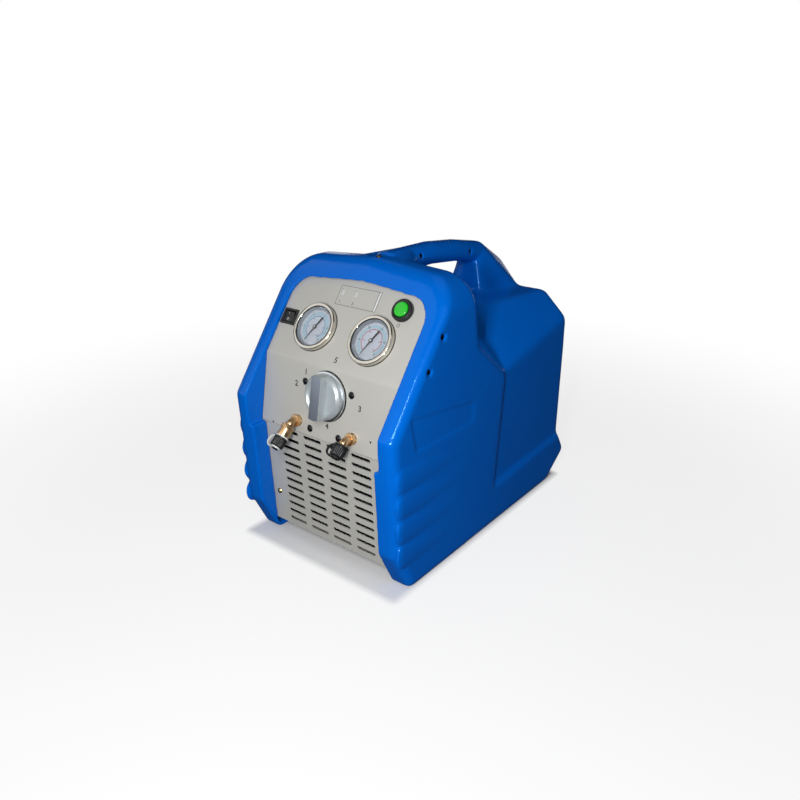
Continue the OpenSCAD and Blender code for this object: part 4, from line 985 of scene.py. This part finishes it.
    def build(self) -> None:
        """Makes every piece of the gauge."""
        self.bezel()
        self.sleeve()
        self.dial()
        self.hub()
        paint(FINISH.enamel, f"{self.side}_gauge_dial")
        paint(FINISH.glass, f"{self.side}_gauge_lens")
        paint(FINISH.black_oxide, f"{self.side}_gauge_needle")
        paint(FINISH.black_abs, f"{self.side}_gauge_case")


@dataclass
class Selector:
    """The selector knob on its bright skirt, with numbers for its places."""

    edge_mm: float = 0.8
    places: tuple[Point2, ...] = ((-36.0, 21.0), (-50.0, 4.0), (50.0, -3.0), (4.0, -35.0))
    top_place: Point2 = (4.0, 252.0)
    number_mm: float = 6.8
    knob_top_mm: float = 21.0
    skirt_mm: float = 29.0

    def build(self) -> None:
        """Softens the knob, darkens its grip's face with a painted reflection and prints the numbers round it."""
        knob = softened("selector_knob", "selector", "knob", FINISH.knob, self.edge_mm)
        self.darken_face(knob)
        # Painted shadow: a thin black ring round the skirt's foot stands for the shade under the knob's skirt.
        ring = [(self.skirt_mm - 2.0, 0.02), (self.skirt_mm + 0.8, 0.02), (self.skirt_mm + 0.8, 0.5),
                (self.skirt_mm - 2.0, 0.5)]
        mesh = turned(ring, joint_seat("selector_turn", 1.0).matrix())
        keep(new_piece("knob_painted_shadow_ring", mesh, FINISH.rubber), MACHINE, "needle")
        softened("knob_skirt", "selector", "skirt", FINISH.skirt, 0.5)
        paint(FINISH.black_oxide, "knob_set_screw")
        paint(FINISH.brass, "valve_stem")
        face = joint_seat("selector_turn", 1.0)
        ink = Print("selector_numbers", face, FINISH.ink_black, "needle")
        for n, (x, y) in enumerate(self.places):
            ink.word(str(n + 1), self.number_mm, x, y, Weight.BOLD)
        ink.finish_piece()
        upper = upper_face()
        top = Print("selector_top_number", upper, FINISH.ink_black, "needle")
        x, height = self.top_place
        top.word(str(len(self.places) + 1), self.number_mm, x, upper.height(height), Weight.BOLD)
        top.finish_piece()

    def darken_face(self, knob: bpy.types.Object) -> None:
        """Gives the outward face of the grip its brushed finish, darker as a painted reflection.

        Args:
            knob: The softened knob.
        """
        face = joint_seat("selector_turn", 1.0)
        knob.data.materials.append(FINISH.knob_face.material())
        for polygon in knob.data.polygons:
            rise = (polygon.center - face.origin).dot(face.out) / MM
            if polygon.normal.dot(face.out) > 0.97 and rise > self.knob_top_mm - 0.5:
                polygon.material_index = 1


@dataclass
class Controls:
    """The rocker switch, the push button, the two windows and what is printed by them."""

    lamp_x_mm: tuple[float, ...] = (-25.0, -5.0)
    box_left_mm: float = -31.0
    box_right_mm: float = 30.0
    box_low_mm: float = 304.5
    box_high_mm: float = 324.0
    line_mm: float = 0.6
    cap_mm: float = 8.7
    cap_up_mm: float = 7.2
    cap_deep_mm: float = 6.0
    collar_mm: float = 13.0
    collar_up_mm: float = 6.0

    @property
    def face(self) -> Seat:
        """The upper panel's face."""
        return upper_face()

    def centre_of(self, node: str) -> Point2:
        """Where a node's middle lies on the upper face, in millimetres."""
        low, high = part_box(node)
        offset = (low + high) / 2 - self.face.origin
        return offset.dot(self.face.right) / MM, offset.dot(self.face.up) / MM

    def outline_box(self) -> None:
        """Prints the frame round the windows, with a double line at its right."""
        ink = Print("window_frame", self.face, FINISH.ink_grey, "needle")
        low, high = self.face.height(self.box_low_mm), self.face.height(self.box_high_mm)
        ink.bar((self.box_left_mm, high), (self.box_right_mm, high), self.line_mm)
        ink.bar((self.box_left_mm, low), (self.box_right_mm, low), self.line_mm)
        for x in (self.box_left_mm, self.box_right_mm - 3.5, self.box_right_mm):
            ink.bar((x, low), (x, high), self.line_mm)
        for n, x in enumerate(self.lamp_x_mm):
            ink.word(str(n + 1), 3.0, x - 0.5, low + 4.0, Weight.BOLD)
            ink.bar((x - 2.6, high - 9.5), (x - 2.6, high - 3.0), self.line_mm)
        ink.finish_piece()
        light = Print("window_frame_light", self.face, FINISH.ink_white, "needle")
        middle = self.box_right_mm - 1.75
        light.bar((middle, low), (middle, high), 2.0)
        light.finish_piece()

    def button(self) -> None:
        """Turns the button's cap and its lipped collar, and prints the ring under them."""
        x, y = self.centre_of("button_bezel")
        at = self.face.matrix(x, y)
        cap = [
            (0.01, -self.cap_deep_mm), (self.cap_mm, -self.cap_deep_mm),
            *arc((self.cap_mm - 0.8, self.cap_up_mm - 0.8), 0.8, 0.0, 90.0, 4), (0.01, self.cap_up_mm + 0.25),
        ]
        keep(new_piece("button_cap_dressed", turned(cap, at), FINISH.green, 50.0), "start_button", "green_plastic",
             "button_cap")
        lip = self.cap_mm + 0.25
        collar = [
            (self.collar_mm, 0.0), (self.collar_mm, self.collar_up_mm - 1.2),
            *arc((self.collar_mm - 1.2, self.collar_up_mm - 1.2), 1.2, 0.0, 90.0, 4),
            (lip + 0.4, self.collar_up_mm), (lip, self.collar_up_mm - 0.4), (lip, 0.0),
        ]
        keep(new_piece("button_bezel_dressed", turned(collar, at), FINISH.black_abs, 50.0), MACHINE,
             "black_plastic", "button_bezel")
        mark = Print("button_mark", self.face, FINISH.ink_black, "needle")
        mark.band(1.6, 2.1, 0.0, 360.0, x, y - 17.0)
        mark.finish_piece()

    def switch(self) -> None:
        """Softens the rocker and prints its two marks on the pads."""
        softened("switch_frame", MACHINE, "black_plastic", FINISH.black_abs, 0.4)
        softened("switch_rocker", "rocker", "black_plastic", FINISH.black_abs, 0.35)
        mesh = bmesh.new()
        mesh.from_mesh(frame["nodes"]["switch_rocker"].data)
        tree = BVHTree.FromBMesh(mesh)
        mesh.free()
        x, y = self.centre_of("switch_rocker")
        for name, text, rise in (("rocker_mark_on", "I", 3.6), ("rocker_mark_off", "O", -3.6)):
            start = self.face.matrix(x, y + rise, 30.0).translation
            hit, normal, _, _ = tree.ray_cast(start, -self.face.out)
            mark = Print(name, Seat(hit, normal), FINISH.ink_white, "lamp", "rocker")
            mark.word(text, 3.4, 0.0, 0.0)
            mark.finish_piece()

    def build(self) -> None:
        """Makes every control."""
        self.outline_box()
        self.button()
        self.switch()
        paint(FINISH.lamp, "indicator_lamps")
        paint(FINISH.grey_abs, "button_body")


@dataclass
class Port:
    """One service port: brass fittings, a ribbed cap and its strap."""

    side: str
    strap_finish: Finish
    strap_slot: str
    cap_mm: float = 8.5
    cap_long_mm: float = 14.0
    cap_low_mm: float = 2.0
    thread_mm: float = 5.95
    thread_long_mm: float = 10.4
    ribs: int = 20
    rib_deep_mm: float = 0.55

    def cap(self) -> None:
        """Builds the cap with ribs for the fingers and a domed end."""
        at = joint_seat(f"{self.side}_cap_turn", 1.0).matrix()
        steps = self.ribs * 6
        end = self.cap_long_mm
        wall = [
            (self.thread_mm, self.cap_low_mm), (self.cap_mm - 0.4, self.cap_low_mm),
            (self.cap_mm, self.cap_low_mm + 0.4),
            (self.cap_mm, self.cap_low_mm + 2.0), (self.cap_mm - 0.3, self.cap_low_mm + 2.4),
            (self.cap_mm - 0.3, end - 1.6), (self.cap_mm - 0.7, end - 0.6), (self.cap_mm - 1.6, end),
            (3.0, end), (3.0, end + 2.2), (3.9, end + 2.3), (3.9, end + 2.9), (3.4, end + 3.2), (0.02, end + 3.2),
            (0.02, self.thread_long_mm), (self.thread_mm, self.thread_long_mm),
        ]
        mesh = turned(wall, at, steps)
        mesh.verts.ensure_lookup_table()
        back = at.inverted()
        for vert in mesh.verts:
            local = back @ vert.co
            radius = math.hypot(local.x, local.y)
            if radius > (self.cap_mm - 0.8) * MM and self.cap_low_mm + 2.2 < local.z / MM < end - 0.5:
                turn = math.atan2(local.y, local.x) * self.ribs
                cut = self.rib_deep_mm * MM * (0.5 - 0.5 * math.cos(turn)) ** 2
                local.x *= (radius - cut) / radius
                local.y *= (radius - cut) / radius
                vert.co = at @ local
        piece = new_piece(f"{self.side}_cap_ribbed", mesh, FINISH.nylon, 40.0)
        keep(piece, f"{self.side}_cap", "cap_plastic", f"{self.side}_port_cap")

    def build(self) -> None:
        """Makes every piece of the port."""
        self.cap()
        softened(f"{self.side}_port_fitting", MACHINE, "brass", FINISH.brass, 0.3)
        softened(f"{self.side}_cap_tether", f"{self.side}_strap", self.strap_slot, self.strap_finish, 0.3)
        if self.side == "left":
            softened("left_port_filter", MACHINE, "brass", FINISH.brass, 0.35)


@dataclass
class Machinery:
    """What stands behind the grille and on the tray."""

    def build(self) -> None:
        """Gives each hidden piece its own finish."""
        paint(FINISH.zinc, "motor_cradle")
        paint(FINISH.fins, "condenser_fins", "condenser_coil")
        paint(FINISH.copper, "suction_pipe", "discharge_pipe")
        paint(FINISH.grey_abs, "fan_shroud", "relay_box")
        paint(FINISH.black_abs, "fan_rotor", "power_inlet")
        paint(FINISH.steel, "drive_shaft", "pressure_switch")
        paint(FINISH.motor, "motor_body")
        # The tray's black is painted shade behind the lowest slots.
        paint(FINISH.tray, "base_tray")
        paint(FINISH.casting, "crankcase", "cylinder_barrels", "cylinder_heads", "valve_block")
        paint(FINISH.rubber, "vibration_mounts")
        paint(FINISH.zinc, "run_capacitor")
        paint(FINISH.brass, "gauge_stems")


@dataclass
class Screws:
    """The fasteners."""

    def build(self) -> None:
        """Gives each kind of screw its plating."""
        paint(FINISH.black_oxide, "valve_screws", "side_screws", "rear_screws", "handle_screws")
        paint(FINISH.yellow_zinc, "grille_screws", "top_screw")


@dataclass
class Marks:
    """The small signs printed near the ports."""

    side_mm: float = 3.4
    left: Point2 = (-84.0, 151.5)
    right: Point2 = (70.0, 175.0)

    def build(self) -> None:
        """Prints a triangle that points in by one port and out by the other."""
        face = joint_seat("selector_turn", 1.0)
        ink = Print("port_arrows", face, FINISH.ink_black, "needle")
        s = self.side_mm
        for (x, z), turn in ((self.left, 0.0), (self.right, 180.0)):
            ink.slab([(-s / 2, -s / 2), (s / 2, -s / 2), (0.0, s / 2)], x, face.height(max(z, 160.0)), turn)
        ink.finish_piece()


@dataclass(frozen=True)
class Lamp:
    """A soft lamp that looks at the machine, in metres and watts."""

    name: str
    place: tuple[float, float, float]
    width: float
    height: float
    power: float
    mirrored: bool = True


@dataclass(frozen=True)
class Flag:
    """A dark card beside the view, which only shows in what is bright."""

    name: str
    place: tuple[float, float, float]
    width: float
    height: float


@dataclass
class Studio:
    """The camera at the photograph's place, a pale floor and plain soft light."""

    camera_place: tuple[float, float, float] = (0.54947, -0.73008, 0.53113)
    camera_tilt: float = 67.5
    camera_turn: float = 38.09
    lens_mm: float = 33.17
    floor_size: float = 12.0
    ambient: float = 0.17
    paper: str = "#F4F4F4"
    bounce: str = "#8E8E8E"
    mirrored_floor: str = "#303030"
    shown_near: float = 0.78
    foot: tuple[float, float, float] = (0.118, 0.192, 0.0)
    mirrored: float = 0.0
    white_from: float = 0.35
    white_at: float = 1.1
    lamps: tuple[Lamp, ...] = (
        Lamp("key", (0.45, -0.84, 0.46), 0.09, 0.09, 3.7),
        Lamp("glint", (0.475, -0.80, 0.69), 0.014, 0.3, 3.2),
        Lamp("fill", (-0.7, -1.9, 1.25), 0.8, 0.8, 1.9),
        Lamp("top", (-0.1, 0.2, 2.0), 1.2, 1.2, 1.2),
        Lamp("back", (-1.7, 0.8, 0.6), 0.9, 0.9, 3.0, False),
    )
    flags: tuple[Flag, ...] = (
        Flag("flag_right", (1.9, -0.2, 0.5), 2.4, 1.6),
        Flag("flag_high", (0.2, -1.6, 2.3), 1.6, 0.5),
        Flag("flag_left", (-2.0, -0.9, 0.7), 0.7, 1.8),
        Flag("flag_over", (-0.2, 0.3, 2.6), 3.8, 3.4),
        Flag("flag_behind", (-0.3, 2.1, 1.3), 3.6, 2.2),
        Flag("flag_behind_right", (1.6, 1.5, 1.3), 3.0, 2.8),
        Flag("flag_behind_left", (-2.6, 0.9, 1.2), 2.6, 2.4),
    )

    def camera(self) -> None:
        """Places the camera, solved from the edges in the photograph."""
        data = bpy.data.cameras.new("view")
        data.lens = self.lens_mm
        data.sensor_width = 36.0
        holder = bpy.data.objects.new("view", data)
        holder.location = self.camera_place
        holder.rotation_euler = (math.radians(self.camera_tilt), 0.0, math.radians(self.camera_turn))
        bpy.context.scene.collection.objects.link(holder)
        bpy.context.scene.camera = holder

    def facing(self, place: tuple[float, float, float]) -> Matrix:
        """The transform of something that stands at a place and looks at the machine.

        Args:
            place: Where it stands, in metres.

        Returns:
            A matrix whose -Z looks at the machine.
        """
        aim = Vector((0.0, 0.0, 0.15)) - Vector(place)
        return Matrix.Translation(place) @ aim.to_track_quat("-Z", "Y").to_matrix().to_4x4()

    def light(self, lamp: Lamp) -> None:
        """Adds one lamp."""
        data = bpy.data.lights.new(lamp.name, "AREA")
        data.shape = "RECTANGLE"
        data.size = lamp.width
        data.size_y = lamp.height
        data.energy = lamp.power
        holder = bpy.data.objects.new(lamp.name, data)
        holder.matrix_world = self.facing(lamp.place)
        holder.visible_camera = False
        holder.visible_glossy = lamp.mirrored
        bpy.context.scene.collection.objects.link(holder)

    def card(self, flag: Flag) -> None:
        """Stands up one dark card that neither the camera nor the light meets."""
        mesh = bmesh.new()
        x, y = flag.width / 2, flag.height / 2
        mesh.faces.new([mesh.verts.new(corner) for corner in ((-x, -y, 0), (x, -y, 0), (x, y, 0), (-x, y, 0))])
        data = bpy.data.meshes.new(flag.name)
        mesh.to_mesh(data)
        mesh.free()
        data.materials.append(FINISH.rubber.material())
        holder = bpy.data.objects.new(flag.name, data)
        holder.matrix_world = self.facing(flag.place)
        holder.visible_camera = False
        holder.visible_diffuse = False
        holder.visible_shadow = False
        bpy.context.scene.collection.objects.link(holder)

    def seen_share(self, tree: bpy.types.NodeTree, share: object, mirrored: float) -> bpy.types.NodeSocket:
        """A share for rays that show the background, and zero for light.

        Args:
            tree: The tree that asks.
            share: A number, or a socket that gives it.
            mirrored: How much of it a bright surface shows.

        Returns:
            The socket with the result.
        """
        path = add_node(tree, "ShaderNodeLightPath")
        gloss = add_node(tree, "ShaderNodeMath", {0: path.outputs["Is Glossy Ray"], 1: mirrored}, operation="MULTIPLY")
        one = add_node(tree, "ShaderNodeMath", {
            0: path.outputs["Is Camera Ray"], 1: gloss.outputs["Value"],
        }, operation="MAXIMUM")
        two = add_node(tree, "ShaderNodeMath", {
            0: one.outputs["Value"], 1: path.outputs["Is Transmission Ray"],
        }, operation="MAXIMUM")
        scaled = add_node(tree, "ShaderNodeMath", {0: two.outputs["Value"], 1: share}, operation="MULTIPLY")
        return scaled.outputs["Value"]

    def floor(self) -> None:
        """Lays the pale floor, which keeps the machine's shadow."""
        mesh = bmesh.new()
        half = self.floor_size / 2
        ends = ((-half, -half), (half, -half), (half, half), (-half, half))
        mesh.faces.new([mesh.verts.new((x, y, -0.0002)) for x, y in ends])
        data = bpy.data.meshes.new("floor")
        mesh.to_mesh(data)
        mesh.free()
        made = bpy.data.materials.new("pale_floor")
        made.use_nodes = True
        tree = made.node_tree
        shader = tree.nodes["Principled BSDF"]
        shader.inputs["Roughness"].default_value = 0.9
        path = add_node(tree, "ShaderNodeLightPath")
        under = add_node(tree, "ShaderNodeMix", {
            "Factor": path.outputs["Is Glossy Ray"], 6: linear(self.bounce), 7: linear(self.mirrored_floor),
        }, data_type="RGBA")
        paper = add_node(tree, "ShaderNodeMix", {
            "Factor": path.outputs["Is Camera Ray"], 6: under.outputs[2], 7: linear(self.paper),
        }, data_type="RGBA")
        tree.links.new(paper.outputs[2], shader.inputs["Base Color"])
        glow = add_node(tree, "ShaderNodeEmission", {"Color": (1.0, 1.0, 1.0, 1.0), "Strength": 1.0})
        place = add_node(tree, "ShaderNodeTexCoord")
        away = add_node(tree, "ShaderNodeVectorMath", {0: place.outputs["Object"]}, operation="LENGTH")
        folded = add_node(tree, "ShaderNodeVectorMath", {0: place.outputs["Object"]}, operation="ABSOLUTE")
        past = add_node(tree, "ShaderNodeVectorMath", {0: folded.outputs["Vector"], 1: self.foot}, operation="SUBTRACT")
        clear = add_node(tree, "ShaderNodeVectorMath", {0: past.outputs["Vector"], 1: (0.0, 0.0, 0.0)}, operation="MAXIMUM")
        outside = add_node(tree, "ShaderNodeVectorMath", {0: clear.outputs["Vector"]}, operation="LENGTH")
        beside = add_node(tree, "ShaderNodeMapRange", {"Value": outside.outputs["Value"], "From Max": 0.012})
        share = add_node(tree, "ShaderNodeMapRange", {
            "Value": away.outputs["Value"], "From Min": self.white_from, "From Max": self.white_at,
            "To Min": self.shown_near, "To Max": 1.0,
        }, interpolation_type="SMOOTHSTEP")
        shown = add_node(tree, "ShaderNodeMath", {
            0: share.outputs["Result"], 1: beside.outputs["Result"],
        }, operation="MULTIPLY")
        mix = add_node(tree, "ShaderNodeMixShader", {
            0: self.seen_share(tree, shown.outputs["Value"], self.mirrored), 1: shader.outputs["BSDF"],
            2: glow.outputs["Emission"],
        })
        tree.links.new(mix.outputs["Shader"], tree.nodes["Material Output"].inputs["Surface"])
        data.materials.append(made)
        holder = bpy.data.objects.new("floor", data)
        bpy.context.scene.collection.objects.link(holder)

    def world(self) -> None:
        """Gives the room an even light, and a white that only shows."""
        world = bpy.data.worlds.new("room")
        world.use_nodes = True
        tree = world.node_tree
        back = tree.nodes["Background"]
        strength = add_node(tree, "ShaderNodeMapRange", {
            "Value": self.seen_share(tree, 1.0, 1.0), "To Min": self.ambient, "To Max": 1.0,
        })
        back.inputs["Color"].default_value = (1.0, 1.0, 1.0, 1.0)
        tree.links.new(strength.outputs["Result"], back.inputs["Strength"])
        bpy.context.scene.world = world

    def build(self) -> None:
        """Makes the camera, the floor, the room, the lamps and the cards."""
        self.camera()
        self.floor()
        self.world()
        for lamp in self.lamps:
            self.light(lamp)
        for flag in self.flags:
            self.card(flag)
        bpy.context.scene.view_settings.view_transform = "Standard"


def main() -> None:
    """Builds the scene in order."""
    logging.basicConfig(level=logging.INFO, format="%(message)s")
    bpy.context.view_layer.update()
    parts: list[Callable[[], None]] = [
        Studio().build,
        Case().build,
        Panels().build,
        Gauge("left", FINISH.ink_blue, (0, 2, 4, 6, 8, 10), (0, 30, 60, 90, 120, 150)).build,
        Gauge("right", FINISH.ink_red, (0, 10, 20, 30, 40, 50), (0, 150, 300, 450, 600, 750)).build,
        Selector().build,
        Controls().build,
        Port("left", FINISH.vinyl, "clear_strap").build,
        Port("right", FINISH.rubber, "black_rubber").build,
        Machinery().build,
        Screws().build,
        Marks().build,
    ]
    for build in parts:
        build()


if __name__ == "__main__":
    main()
